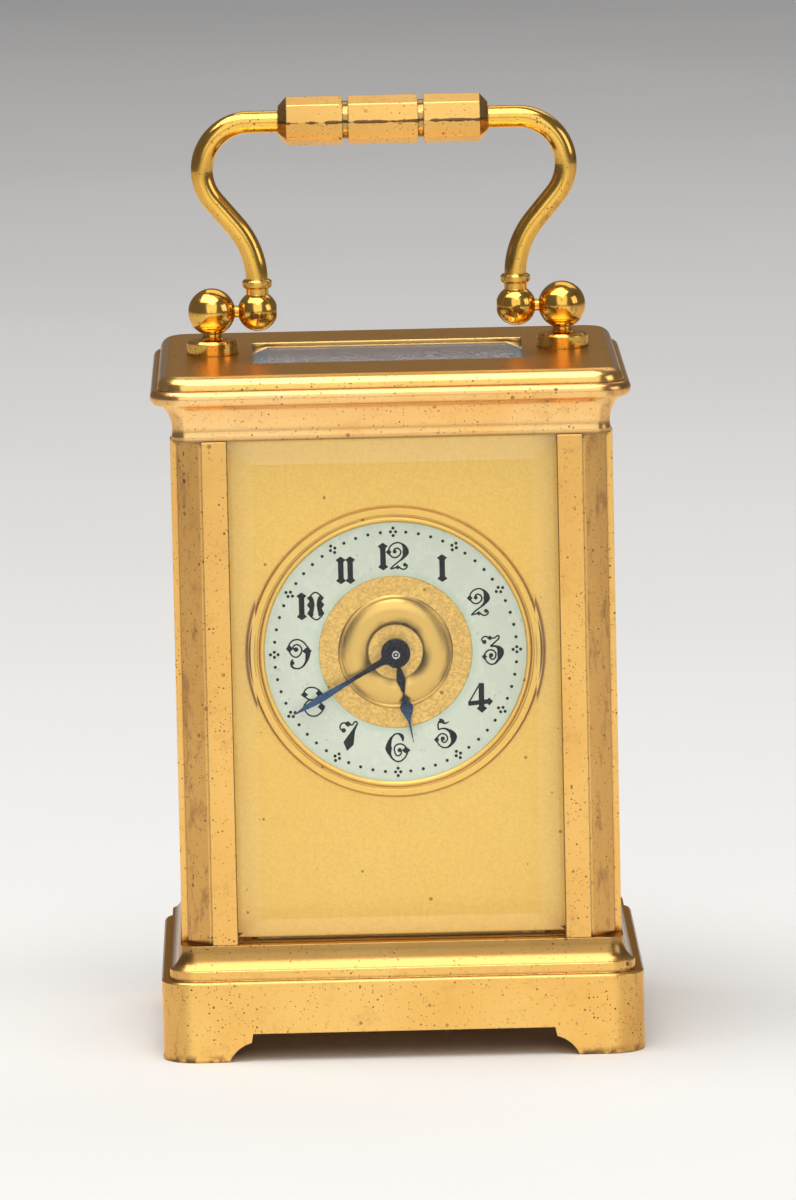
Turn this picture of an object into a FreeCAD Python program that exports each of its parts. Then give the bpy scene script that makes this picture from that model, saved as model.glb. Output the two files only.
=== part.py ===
"""A brass travel clock with glazed sides, a folding handle and a platform escapement.

Millimetres. The clock stands on z = 0, faces -Y and is centred on the Z axis. In the movement, a place
along the depth is given as a distance forwards of the middle of the case, towards the dial.
"""
import FreeCAD, Part
import math
import os

import Sketcher

SIZES = [
    # Base
    ("base_width", 80, "width over the plinth"),
    ("base_depth", 70, "depth over the plinth"),
    ("base_corner", 6, "corner radius of the base and the cornice, in plan"),
    ("base_height", 19, "height of the seat for the pillars"),
    ("plinth_height", 13.4, "height of the upright face"),
    ("plinth_edge", 0.3, "chamfer along the top of the plinth"),
    ("band_inset", 1.4, "inset of the band above the plinth"),
    ("band_height", 1.7, "height of that band"),
    ("cavetto_foot", 1.7, "inset of the hollow moulding at its foot"),
    ("cavetto_head", 3.3, "inset of the hollow moulding at its head"),
    ("cavetto_radius", 4.2, "radius of the hollow moulding"),
    ("moulding_wall", 5, "thickness of the moulded walls of base and cornice"),
    ("moulding_lap", 1, "how far the floors run into those walls"),
    ("base_floor", 4, "thickness of the floor in the base"),
    ("well_side", 11.5, "well that the movement stands in, from the pillars' sides"),
    ("well_front_play", 2.4, "gap between the well and the movement, in front"),
    ("well_back_play", 0.8, "gap between the well and the movement, behind"),
    ("deck_side_lap", 4, "how far the deck laps the floor at the sides of the well"),
    ("deck_end_lap", 4.5, "how far it laps the floor in front and behind"),
    ("deck_thickness", 2.4, "thickness of the deck"),
    ("foot_width", 11, "length of each foot on the ground"),
    ("foot_toe", 4, "how far the arch narrows above the ground"),
    ("foot_sweep", 3.7, "run of the curve at the inside of a foot"),
    ("foot_curve", 3.2, "height of that curve"),
    ("foot_radius", 5.4, "radius of that curve"),
    ("arch_height", 4.7, "clear height under the arches"),
    # Pillars and glass
    ("case_inset", 3.5, "pillars, from the edge of the base"),
    ("pillar_size", 9.4, "width of a pillar on each side"),
    ("pillar_height", 84, "height of the pillars"),
    ("strip_width", 4.2, "flat strip beside the glass"),
    ("strip_step", 0.45, "narrow groove beside the strip"),
    ("strip_relief", 1.1, "depth of that groove"),
    ("cant_radius", 12, "radius of the canted outer corner"),
    ("slot_inset", 1.2, "strip thickness in front of a glass"),
    ("slot_width", 2.2, "width of the slot for a glass"),
    ("slot_depth", 1.6, "depth of that slot"),
    ("pillar_back", 4.6, "thickness of the pillar beside a glass"),
    ("pillar_heel", 7, "inner corner of the pillar, from its outer corner"),
    ("pillar_screw_inset", 4.6, "pillar screw, from the pillar's outer corner"),
    ("glass_play", 0.08, "play of each glass in its seat"),
    ("glass_edge", 1.2, "thickness of a glass at its edge"),
    ("glass_bevel", 4, "width of the visible bevel"),
    ("glass_rise", 0.8, "depth of the bevel"),
    # Cornice and top
    ("cornice_overhang", 3.1, "how far the bead stands out from the pillars"),
    ("cornice_height", 8.6, "height of the cornice"),
    ("lip_inset", 3.4, "inset of the lip at the foot of the cornice"),
    ("lip_height", 0.8, "height of that lip"),
    ("cove_inset", 1.6, "inset of the cove at its head"),
    ("cove_radius", 5.2, "radius of the cove"),
    ("bead_height", 2.5, "height of the bead"),
    ("bead_bulge", 0.7, "how far the bead swells"),
    ("cornice_floor", 3, "thickness of the inner flange"),
    ("top_inset", 1.2, "edge of the top plate, from the bead"),
    ("top_corner", 5, "corner radius of the top plate"),
    ("top_thickness", 2.4, "thickness of the top plate"),
    ("top_round", 2.3, "quarter round along its edge"),
    ("window_end", 18.4, "opening in the top plate, from its front and back edges"),
    ("rebate_width", 1.6, "ledge around the opening, from below"),
    ("rebate_play", 0.016, "gap between the ledge and the bevel of the top glass"),
    ("clip_width", 3.2, "width of a clip under the top glass"),
    ("clip_length", 22, "length of a clip"),
    ("clip_thickness", 0.8, "thickness of a clip"),
    ("clip_gap", 0.2, "gap between a clip and the nut of a handle post"),
    # Handle
    ("post_inset", 9.1, "handle post, from the side of the top plate"),
    ("post_foot_radius", 4.3, "radius of a post's foot"),
    ("post_foot_height", 2.4, "height of the foot"),
    ("post_foot_edge", 0.4, "chamfer on the foot"),
    ("post_flare", 2.9, "radius where the flare leaves the foot"),
    ("post_flare_radius", 1.3, "hollow of the flare"),
    ("post_neck", 1.5, "radius of the neck under the ball"),
    ("post_ball", 3.95, "radius of the ball on a post"),
    ("pivot_height", 7.1, "height of the handle pivot above the top plate"),
    ("pivot_radius", 1, "radius of the pivot pin"),
    ("pivot_play", 0.05, "running clearance around a pivot"),
    ("stud_radius", 1.5, "radius of the stud under a post"),
    ("nut_radius", 3.2, "nut under a post, across its corners, half"),
    ("nut_height", 2, "height of that nut"),
    ("stud_end", 0.8, "stud that stands out of its nut"),
    ("bail_gap", 7.7, "ball of the handle, inwards of its post"),
    ("bail_ball", 3.35, "radius of those balls"),
    ("bail_neck", 1.9, "radius of the neck above the ball"),
    ("collar_radius", 2.5, "radius of the collar ring"),
    ("collar_low", 3.9, "underside of the collar, above the pivot"),
    ("collar_high", 5.3, "top of the collar, above the pivot"),
    ("collar_round", 0.3, "chamfer on the collar"),
    ("arm_radius", 1.85, "radius of the bent rod"),
    ("grip_height", 31.7, "height of the grip's axis above the pivot"),
    ("arm_straight", 4.9, "straight run of the rod beside the grip"),
    ("arm_bend", 8, "radius of the upper bend"),
    ("arm_bow", 40, "how far the upper bend turns past upright, in degrees"),
    ("arm_foot", 5, "height above the pivot where the lower bend ends"),
    ("grip_inset", 4.1, "end of the grip, inwards of the handle's ball"),
    ("grip_radius", 4.1, "half the grip across its corners"),
    ("grip_edge", 1.4, "bevel at the ends of the grip"),
    ("grip_groove", 1, "width of the grooves"),
    ("groove_depth", 0.6, "depth of the grooves"),
    ("grip_middle", 11.6, "length of the grip between the grooves"),
    # Rear door
    ("door_play", 0.2, "gap between the door and each pillar"),
    ("door_rise", 0.4, "gap above and below the door"),
    ("door_thickness", 2.2, "thickness of the door"),
    ("door_border", 4.4, "width of the door's frame"),
    ("door_rebate", 1.2, "seat for the door's glass, each way"),
    ("door_pivot_inset", 1.3, "pivot, from the edge of the door"),
    ("door_pivot_radius", 0.7, "radius of the door's pivots"),
    ("door_pivot_length", 1.8, "length of a pivot beyond the door"),
    ("knob_radius", 2, "radius of the knob"),
    ("knob_length", 2.6, "length of the knob"),
    ("knob_stem", 0.9, "radius of the knob's stem"),
    # Dial and hands
    ("dial_height", 66.4, "height of the dial's middle"),
    ("mask_inset", 8, "side of the dial mask, from the pillars' sides"),
    ("mask_margin", 0.6, "gap above and below the mask"),
    ("mask_setback", 9, "front of the mask, behind the front of the pillars"),
    ("mask_thickness", 1, "thickness of the mask"),
    ("dial_foot_radius", 0.9, "radius of a dial foot"),
    ("dial_foot_spacing", 30, "distance between the feet, across"),
    ("dial_foot_low", 15, "lower feet, above the foot of the movement plates"),
    ("dial_foot_high", 6, "upper feet, below the top of the movement plates"),
    ("ring_outer", 22, "outer radius of the chapter ring"),
    ("ring_inner", 12.75, "inner radius of the chapter ring"),
    ("ring_thickness", 0.6, "thickness of the chapter ring"),
    ("ring_crown_radius", 60, "radius of its slight crown"),
    ("bezel_width", 2.3, "width of the bezel outside the chapter ring"),
    ("bezel_height", 1, "height of the bezel's flat ring"),
    ("bezel_step", 1, "flat ring, from the edge of the chapter ring"),
    ("bezel_lap", 0.3, "how far the bezel's bead laps the chapter ring"),
    ("bezel_groove", 0.35, "width and depth of the groove beside the bead"),
    ("bezel_bead_radius", 0.52, "radius of the bead"),
    ("dial_hole", 2.6, "radius of the hole behind the hands"),
    ("center_rim", 9.5, "outer radius of the raised ring on the dial center"),
    ("center_bead_width", 0.65, "width of that raised ring"),
    ("center_dish", 4.5, "inner radius of the swelling ring"),
    ("center_swell_radius", 4.2, "radius of the swelling ring"),
    ("center_bead_radius", 0.36, "radius of the raised ring"),
    ("center_thickness", 0.4, "thickness of the dial center"),
    ("center_bore", 2, "radius of the hole in the dial center"),
    ("hour_hand_rise", 1.5, "back of the hour hand, in front of the mask"),
    ("minute_hand_rise", 1, "minute hand, in front of the hour hand"),
    ("hand_thickness", 0.35, "thickness of a hand"),
    ("hand_hub", 2.4, "radius of a hand's hub"),
    ("minute_hand_length", 20, "length of the minute hand"),
    ("minute_hand_waist", 8, "distance to its narrow stem"),
    ("minute_hand_belly", 14.5, "distance to its widest part"),
    ("minute_hand_width", 1.3, "width there"),
    ("hour_hand_length", 15.1, "length of the hour hand"),
    ("hour_hand_leaf", 4.7, "distance to the leaf near its hub"),
    ("hour_hand_waist", 8.3, "distance to its narrow waist"),
    ("hour_hand_bulb", 9.8, "distance to its bulb"),
    ("hour_hand_tip", 11.2, "distance to the start of its thin tip"),
    ("hour_hand_width", 2.2, "width of the bulb"),
    ("stem_width", 0.7, "width of a hand where it is narrow"),
    ("minutes_shown", 40, "minutes past the hour"),
    ("hours_shown", 5, "whole hours"),
    ("hand_nut_radius", 1.5, "radius of the nut that holds the hands"),
    ("hand_nut_height", 0.9, "height of that nut"),
    # Movement plates
    ("plate_clearance", 1, "gap between the movement plates and the sides of the well"),
    ("platform_gap", 1.7, "contrate teeth to the top of the movement plates"),
    ("plate_thickness", 1.6, "thickness of a plate"),
    ("motion_space", 8.1, "inside of the front plate, behind the front of the mask"),
    ("key_space", 15.5, "inside of the back plate, from the back of the pillars"),
    ("spacer_radius", 2.4, "radius of a movement pillar"),
    ("spacer_inset", 3.2, "movement pillar, from the edge of the plates"),
    ("spacer_pin", 1.1, "radius of the pillar's end in its hole"),
    ("spacer_nut", 1.9, "radius of a pillar nut"),
    ("spacer_nut_height", 1.1, "height of a pillar nut"),
    ("arbor_radius", 0.9, "radius of a train arbor"),
    ("pin_radius", 0.55, "radius of a train pivot"),
    ("shoulder_play", 0.15, "end play of an arbor between the plates"),
    # Going train
    ("pressure_angle", 20, "pressure angle of the teeth, in degrees"),
    ("tooth_shift", 0.4, "share of the module that pinions gain and wheels lose"),
    ("tooth_reach", 0.85, "share of the full tooth height that is kept"),
    ("tooth_slack", 0.12, "share of the module that each tooth is thinned by"),
    ("barrel_teeth", 80, "teeth of the barrel"),
    ("barrel_module", 0.45, "module of the barrel"),
    ("barrel_step", 1.6, "drum, inside the pitch circle of its teeth"),
    ("barrel_front_gap", 9.4, "front of the drum, behind the front plate"),
    ("barrel_back_gap", 3.4, "back of the drum, in front of the back plate"),
    ("barrel_wall", 1.2, "wall of the drum"),
    ("barrel_flange", 1.5, "thickness of the toothed flange"),
    ("barrel_arbor_radius", 4.2, "radius of the arbor inside the drum"),
    ("barrel_pin", 1.8, "radius of the barrel arbor in plates and drum"),
    ("barrel_cap_thickness", 1.1, "thickness of the cap"),
    ("spring_strip", 0.5, "thickness of the mainspring"),
    ("spring_turns", 6, "turns of the mainspring"),
    ("center_leaves", 10, "leaves of the center pinion"),
    ("center_teeth", 64, "teeth of the center wheel"),
    ("center_module", 0.4, "module of the center wheel"),
    ("center_wheel_gap", 6.8, "back of the center wheel, behind the front plate"),
    ("center_pipe", 1.5, "radius of the center wheel's pipe"),
    ("third_leaves", 8, "leaves of the third pinion"),
    ("third_teeth", 60, "teeth of the third wheel"),
    ("third_module", 0.35, "module of the third wheel"),
    ("third_bearing", 30, "third arbor, seen from the center, in degrees above the right"),
    ("third_wheel_lead", 5, "third wheel, forwards of the contrate disc"),
    ("contrate_leaves", 8, "leaves of the contrate pinion"),
    ("contrate_teeth", 48, "teeth of the contrate wheel"),
    ("contrate_bearing", 37, "contrate arbor, seen from the third, in degrees above the left"),
    ("contrate_radius", 7.6, "middle radius of the contrate teeth"),
    ("contrate_rim", 1, "width of the contrate rim"),
    ("contrate_gap", 8, "back of the contrate disc, in front of the back plate"),
    ("contrate_tooth", 1, "length of the contrate teeth"),
    ("wheel_thickness", 1, "thickness of the train wheels"),
    ("pinion_length", 3.4, "length of the train pinions"),
    ("wheel_rim", 1.5, "width of a wheel's rim inside its teeth"),
    ("wheel_hub", 3, "radius of a wheel's hub"),
    ("spoke_width", 1.5, "width of a spoke"),
    ("spokes", 4, "spokes of a train wheel"),
    # Winding
    ("square_side", 2.2, "side of the winding and setting squares"),
    ("winding_clearance", 5.5, "end of the winding square, from the back of the pillars"),
    ("setting_clearance", 8.5, "end of the setting square, from the back of the pillars"),
    ("ratchet_teeth", 24, "teeth of the ratchet wheel"),
    ("ratchet_radius", 6, "radius of the ratchet wheel"),
    ("ratchet_tooth", 0.9, "height of the ratchet teeth"),
    ("ratchet_thickness", 1.2, "thickness of the ratchet wheel and the click"),
    ("ratchet_gap", 0.3, "gap between back plate and ratchet wheel"),
    ("click_clearance", 0.2, "gap between the click and the ratchet teeth"),
    ("click_length", 7, "length of the click"),
    ("click_hub", 1.7, "radius of the click's hub"),
    ("click_screw", 0.7, "radius of the click's screw"),
    ("click_nose", 0.6, "width of the click at its nose"),
    ("click_spring_thickness", 0.3, "thickness of the click spring"),
    ("click_spring_gap", 0.1, "gap between the click and its spring"),
    # Motion work
    ("cannon_leaves", 12, "leaves of the cannon pinion"),
    ("minute_teeth", 36, "teeth of the minute wheel"),
    ("cannon_module", 0.25, "module of that pair"),
    ("minute_leaves", 10, "leaves of the minute pinion"),
    ("hour_teeth", 40, "teeth of the hour wheel"),
    ("motion_bearing", 45, "minute wheel, in degrees below the right"),
    ("cannon_gap", 0.4, "cannon pinion, in front of the front plate"),
    ("cannon_length", 1.8, "length of the cannon pinion's leaves"),
    ("hour_wheel_lead", 2.6, "hour wheel, in front of the back of the cannon pinion"),
    ("motion_thickness", 0.8, "thickness of minute and hour wheels"),
    ("center_arbor_radius", 0.7, "radius of the center arbor"),
    ("cannon_pipe", 1.1, "outer radius of the cannon pinion's pipe"),
    ("hour_pipe", 1.6, "outer radius of the hour wheel's pipe"),
    ("pipe_play", 0.08, "running clearance between the pipes"),
    # Platform escapement
    ("platform_width", 32, "width of the platform"),
    ("platform_thickness", 1.2, "thickness of the platform"),
    ("potence_drop", 5.4, "depth of the bracket under the platform"),
    ("potence_width", 2.56, "width of that bracket"),
    ("potence_wall", 1.5, "thickness of its post"),
    ("potence_gap", 1.75, "gap between its post and the middle of the escape arbor"),
    ("potence_end", 0.55, "arm of the bracket in front of the escape arbor"),
    ("escape_leaves", 6, "leaves of the escape pinion"),
    ("escape_teeth", 15, "teeth of the escape wheel"),
    ("escape_radius", 4, "radius of the escape wheel"),
    ("escape_plane", 1.4, "escape wheel, above the platform"),
    ("escape_thickness", 0.5, "thickness of the escape wheel"),
    ("pallet_distance", 5.6, "escape wheel to pallet lever"),
    ("balance_distance", 6.8, "pallet lever to balance"),
    ("pallet_spread", 40, "each pallet, from the line between wheel and lever, in degrees"),
    ("pallet_clearance", 0.45, "gap between pallets and escape teeth"),
    ("lever_thickness", 0.6, "thickness of the pallet lever"),
    ("bridge_height", 3, "underside of the bridge, above the platform"),
    ("bridge_thickness", 0.9, "thickness of the bridge and the cock"),
    ("bridge_width", 3.2, "width of the bridge and the cock"),
    ("bridge_gap", 0.4, "gap between the bridge's foot and the escape wheel"),
    ("balance_radius", 7.4, "radius of the balance wheel"),
    ("balance_plane", 4.4, "balance wheel, above the platform"),
    ("balance_thickness", 0.9, "thickness of the balance wheel"),
    ("balance_rim", 1.1, "width of the balance rim"),
    ("balance_hub", 1.3, "radius of the balance's hub"),
    ("roller_radius", 1.9, "radius of the roller under the balance"),
    ("roller_thickness", 0.4, "thickness of the roller"),
    ("impulse_offset", 1.5, "impulse pin, from the balance staff"),
    ("impulse_pin", 0.25, "radius of the impulse pin"),
    ("impulse_gap", 0.15, "gap between the impulse pin and the lever"),
    ("balance_screw", 0.6, "length of the screws around the balance rim"),
    ("staff_radius", 0.6, "radius of the small arbors"),
    ("staff_pin", 0.35, "radius of their pivots"),
    ("cock_height", 7, "underside of the balance cock, above the platform"),
    ("hairspring_plane", 6.1, "hairspring, above the platform"),
    ("hairspring_wire", 0.12, "radius of the hairspring's wire"),
    ("hairspring_start", 1.5, "inner radius of the hairspring"),
    ("hairspring_pitch", 0.7, "distance between its turns"),
    ("hairspring_turns", 5, "turns of the hairspring"),
    ("index_thickness", 0.4, "thickness of the regulator index"),
    ("index_length", 6, "length of the regulator index"),
    # Fasteners
    ("screw_radius", 1, "radius of the case screws"),
    ("screw_head", 1.9, "radius of their heads"),
    ("screw_head_height", 1.2, "height of their heads"),
    ("screw_length", 9, "length of the case screws under the head"),
    ("seat_screw_length", 4, "length of the screws in the deck"),
    ("small_screw", 0.5, "radius of the platform screws"),
    ("small_screw_head", 1, "radius of their heads"),
    ("small_screw_height", 0.6, "height of their heads"),
    ("small_screw_length", 3, "length of the platform screws"),
]

doc = FreeCAD.newDocument("TravelClock")
sheet = doc.addObject("Spreadsheet::Sheet", "Dim")
for row, (alias, size, meaning) in enumerate(SIZES, 1):
    sheet.set(f"A{row}", meaning)
    sheet.set(f"B{row}", str(size))
    sheet.setAlias(f"B{row}", alias)
doc.recompute()

# Turns from an upright piece to one that lies along an axis, or that faces forwards like the dial
UPRIGHT = FreeCAD.Rotation()
ALONG_X = FreeCAD.Rotation(FreeCAD.Vector(0, 1, 0), 90)
TO_THE_LEFT = FreeCAD.Rotation(FreeCAD.Vector(0, 0, 1), -90)
ALONG_Y = FreeCAD.Rotation(FreeCAD.Vector(1, 0, 0), -90)
FACING_FRONT = FreeCAD.Rotation(FreeCAD.Vector(1, 0, 0), 90)

pieces = []


# Helpers that tie document objects to the sheet

def number(expression):
    """The value of an expression in the sheet's names."""
    return float(sheet.evalExpression(expression))


def dim(alias):
    """One size from the sheet."""
    return float(sheet.get(alias))


def place(thing, at, turn=UPRIGHT):
    """Puts an object at a point given by three expressions."""
    thing.Placement = FreeCAD.Placement(FreeCAD.Vector(*(number(part) for part in at)), turn)
    for letter, part in zip("xyz", at):
        thing.setExpression(f"Placement.Base.{letter}", part)


def keep(thing, label):
    """Names a finished piece of the clock."""
    thing.Label = label
    pieces.append(thing)
    return thing


def rod(radius, length, at, turn=UPRIGHT):
    """A plain round bar that starts at a point."""
    bar = doc.addObject("Part::Cylinder", "Rod")
    bar.setExpression("Radius", radius)
    bar.setExpression("Height", length)
    place(bar, at, turn)
    return bar


def block(low, size):
    """A plain block with its lowest corner at a point."""
    box = doc.addObject("Part::Box", "Block")
    for side, length in zip(("Length", "Width", "Height"), size):
        box.setExpression(side, length)
    place(box, low)
    return box


def fuse(*parts):
    joined = doc.addObject("Part::MultiFuse", "Fuse")
    joined.Shapes = parts
    return joined


def cut(base, *tools):
    left = doc.addObject("Part::Cut", "Cut")
    left.Base = base
    left.Tool = tools[0] if len(tools) == 1 else fuse(*tools)
    return left


def group(label, parts):
    """Several like solids that share one name."""
    together = doc.addObject("Part::Compound", "Group")
    together.Links = parts
    return keep(together, label)


def shaped(label, shape, at=("0", "0", "0"), turn=UPRIGHT):
    """A piece whose shape is worked out here, from sizes in the sheet."""
    feature = doc.addObject("Part::Feature", "Shaped")
    feature.Shape = shape
    place(feature, at, turn)
    return keep(feature, label)


def new_body(label):
    return keep(doc.addObject("PartDesign::Body", "Body"), label)


def sketch_on(body, role, offset=("0", "0", "0")):
    """An empty sketch on one of the body's own planes, moved by an offset in the sketch's axes."""
    sketch = body.newObject("Sketcher::SketchObject", "Sketch")
    plane = [feature for feature in body.Origin.OriginFeatures if feature.Role == role][0]
    sketch.AttachmentSupport = (plane, [""])
    sketch.MapMode = "FlatFace"
    for letter, part in zip("xyz", offset):
        if part != "0":
            sketch.setExpression(f"AttachmentOffset.Base.{letter}", part)
    return sketch


def hold(sketch, edge, end, x, y):
    """Ties one end of a sketch edge to a point given by two expressions."""
    for kind, axis, part in (("DistanceX", -2, x), ("DistanceY", -1, y)):
        value = number(part)
        if abs(value) < 1e-9:
            sketch.addConstraint(Sketcher.Constraint("PointOnObject", edge, end, axis))
        elif value > 0:
            index = sketch.addConstraint(Sketcher.Constraint(kind, -1, 1, edge, end, value))
            sketch.setExpression(f"Constraints[{index}]", part)
        else:
            index = sketch.addConstraint(Sketcher.Constraint(kind, edge, end, -1, 1, -value))
            sketch.setExpression(f"Constraints[{index}]", f"-({part})")


def path(sketch, points, closed):
    """Edges through points of (x, y) or (x, y, radius): a radius bends the edge that starts there,
    to its left where it is positive and to its right where it starts with a minus sign."""
    spots = [FreeCAD.Vector(number(point[0]), number(point[1]), 0) for point in points]
    edges = []
    for index, point in enumerate(points if closed else points[:-1]):
        start = spots[index]
        end = spots[(index + 1) % len(spots)]
        if len(point) == 2:
            edge = sketch.addGeometry(Part.LineSegment(start, end))
            edges.append((edge, 1, 2))
            continue
        radius = number(point[2])
        chord = end - start
        rise = abs(radius) - math.sqrt(radius ** 2 - chord.Length ** 2 / 4)
        left = FreeCAD.Vector(-chord.y, chord.x, 0).normalize()
        middle = (start + end) / 2 + left * math.copysign(rise, radius)
        ends = (end, start) if radius > 0 else (start, end)
        edge = sketch.addGeometry(Part.Arc(ends[0], middle, ends[1]))
        edges.append((edge, 2, 1) if radius > 0 else (edge, 1, 2))
        bend = sketch.addConstraint(Sketcher.Constraint("Radius", edge, abs(radius)))
        sketch.setExpression(f"Constraints[{bend}]", f"abs({point[2]})")
    for index, (edge, _, last) in enumerate(edges if closed else edges[:-1]):
        following, first, _ = edges[(index + 1) % len(edges)]
        sketch.addConstraint(Sketcher.Constraint("Coincident", edge, last, following, first))
    for (edge, first, _), point in zip(edges, points):
        hold(sketch, edge, first, point[0], point[1])
    if not closed:
        hold(sketch, edges[-1][0], edges[-1][2], points[-1][0], points[-1][1])
    return sketch


def outline(sketch, points):
    return path(sketch, points, True)


def rectangle(sketch, half_width, low, high):
    """A rectangle about the upright axis of a sketch."""
    return outline(sketch, [
        (f"-({half_width})", low), (half_width, low), (half_width, high), (f"-({half_width})", high)])


def rounded(sketch, half_x, half_y, radius):
    """A rounded rectangle about the middle of a sketch, starting in the middle of one side."""
    bend = f"-({radius})"
    near_x = f"({half_x}) - ({radius})"
    near_y = f"({half_y}) - ({radius})"
    return outline(sketch, [
        ("0", f"-({half_y})"),
        (near_x, f"-({half_y})", bend), (half_x, f"-({near_y})"),
        (half_x, near_y, bend), (near_x, half_y),
        (f"-({near_x})", half_y, bend), (f"-({half_x})", near_y),
        (f"-({half_x})", f"-({near_y})", bend), (f"-({near_x})", f"-({half_y})")])


def hole(sketch, x, y, radius):
    """A circle in a sketch."""
    spot = FreeCAD.Vector(number(x), number(y), 0)
    edge = sketch.addGeometry(Part.Circle(spot, FreeCAD.Vector(0, 0, 1), number(radius)))
    size = sketch.addConstraint(Sketcher.Constraint("Radius", edge, number(radius)))
    sketch.setExpression(f"Constraints[{size}]", radius)
    hold(sketch, edge, 3, x, y)
    return sketch


def pad(body, sketch, length, reverse=False, middle=False):
    feature = body.newObject("PartDesign::Pad", "Pad")
    feature.Profile = sketch
    feature.setExpression("Length", length)
    feature.Reversed = reverse
    feature.Midplane = middle
    return feature


def pocket(body, sketch, length=None, reverse=False):
    """A cut along the sketch's normal: of one length to one side, or right through both ways."""
    before = body.Tip
    feature = body.newObject("PartDesign::Pocket", "Pocket")
    feature.Profile = sketch
    feature.Reversed = reverse
    if length is None:
        feature.Midplane = True
        feature.Type = "ThroughAll"
    else:
        feature.setExpression("Length", length)
    doc.recompute()
    if feature.Shape.Volume >= before.Shape.Volume:
        raise ValueError(f"{body.Label}: a pocket cuts nothing")
    return feature


def revolve(body, sketch, axis="V_Axis"):
    feature = body.newObject("PartDesign::Revolution", "Revolution")
    feature.Profile = sketch
    feature.ReferenceAxis = (sketch, [axis])
    feature.Angle = 360
    return feature


def sweep(body, profile, spine):
    feature = body.newObject("PartDesign::AdditivePipe", "Pipe")
    feature.Profile = profile
    feature.Spine = (spine, [])
    return feature


def edges_where(feature, chosen):
    """Names of the edges of a feature whose bounding box passes a test."""
    doc.recompute()
    return [f"Edge{index}" for index, edge in enumerate(feature.Shape.Edges, 1) if chosen(edge.BoundBox)]


def soften(body, kind, edges, size):
    """A fillet or chamfer on edges of the body's last feature."""
    base = body.Tip
    feature = body.newObject(f"PartDesign::{kind}", kind)
    feature.Base = (base, edges)
    feature.setExpression("Radius" if kind == "Fillet" else "Size", size)
    return feature


# Levels and places that several pieces share

CASE_WIDTH = "(Dim.base_width - 2 * Dim.case_inset)"
CASE_DEPTH = "(Dim.base_depth - 2 * Dim.case_inset)"
WELL_WIDTH = f"({CASE_WIDTH} - 2 * Dim.well_side)"
DECK_WIDTH = f"({WELL_WIDTH} + 2 * Dim.deck_side_lap)"
CORNICE_WIDTH = f"({CASE_WIDTH} + 2 * Dim.cornice_overhang)"
CORNICE_DEPTH = f"({CASE_DEPTH} + 2 * Dim.cornice_overhang)"
TOP_WIDTH = f"({CORNICE_WIDTH} - 2 * Dim.top_inset)"
TOP_DEPTH = f"({CORNICE_DEPTH} - 2 * Dim.top_inset)"
WINDOW_DEPTH = f"({TOP_DEPTH} - 2 * Dim.window_end)"
POST_SPACING = f"({TOP_WIDTH} - 2 * Dim.post_inset)"
CLIP_SPACING = f"({POST_SPACING} - 2 * (Dim.nut_radius + Dim.clip_gap) - Dim.clip_width)"
REBATE_DEPTH = ("Dim.glass_edge + Dim.glass_rise * (Dim.rebate_width - Dim.glass_play) / Dim.glass_bevel"
                " + Dim.rebate_play")
WINDOW_WIDTH = f"({CLIP_SPACING} - 2 * Dim.rebate_width)"
BAIL_SPACING = f"({POST_SPACING} - 2 * Dim.bail_gap)"
GRIP_LENGTH = f"({BAIL_SPACING} - 2 * Dim.grip_inset)"
ARM_REACH = f"({GRIP_LENGTH} / 2 + Dim.arm_straight)"
MASK_WIDTH = f"({CASE_WIDTH} - 2 * Dim.mask_inset)"
MASK_FRONT = f"({CASE_DEPTH} / 2 - Dim.mask_setback)"
BEZEL_OUTER = "(Dim.ring_outer + Dim.bezel_width)"
BEZEL_FLAT = "(Dim.ring_outer + Dim.bezel_step)"
BEZEL_LIP = "(Dim.ring_outer - Dim.bezel_lap)"
CENTER_STEP = "(Dim.center_rim - Dim.center_bead_width)"
HOUR_HAND_PLANE = f"({MASK_FRONT} + Dim.hour_hand_rise)"
MINUTE_HAND_PLANE = f"({HOUR_HAND_PLANE} + Dim.minute_hand_rise)"
PLATE_WIDTH = f"({WELL_WIDTH} - 2 * Dim.plate_clearance)"
FRONT_GAP = f"({MASK_FRONT} - Dim.motion_space)"
BACK_GAP = f"({CASE_DEPTH} / 2 - Dim.key_space)"
WELL_FRONT = f"({FRONT_GAP} + Dim.plate_thickness + Dim.spacer_nut_height + Dim.well_front_play)"
WELL_BACK = f"({BACK_GAP} + Dim.plate_thickness + Dim.spacer_nut_height + Dim.well_back_play)"
DECK_FRONT = f"({WELL_FRONT} + Dim.deck_end_lap)"
DECK_BACK = f"({WELL_BACK} + Dim.deck_end_lap)"
BARREL_FRONT = f"({FRONT_GAP} - Dim.barrel_front_gap)"
BARREL_BACK = f"({BACK_GAP} - Dim.barrel_back_gap)"
CENTER_WHEEL_PLANE = f"({FRONT_GAP} - Dim.center_wheel_gap)"
CONTRATE_PLANE = f"(Dim.contrate_gap - {BACK_GAP})"
THIRD_WHEEL_PLANE = f"({CONTRATE_PLANE} + Dim.third_wheel_lead)"
CANNON_PLANE = f"({FRONT_GAP} + Dim.plate_thickness + Dim.cannon_gap)"
HOUR_PLANE = f"({CANNON_PLANE} + Dim.hour_wheel_lead)"
WINDING_REACH = f"({CASE_DEPTH} / 2 - Dim.winding_clearance)"
SETTING_REACH = f"({CASE_DEPTH} / 2 - Dim.setting_clearance)"
FLOOR_BELOW = "Dim.base_height - Dim.base_floor"
CASE_TOP = "Dim.base_height + Dim.pillar_height"
CORNICE_TOP = f"{CASE_TOP} + Dim.cornice_height"
TOP = f"{CORNICE_TOP} + Dim.top_thickness"
PIVOT = f"{TOP} + Dim.pivot_height"
SCREW_X = f"{CASE_WIDTH} / 2 - Dim.pillar_screw_inset"
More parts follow.
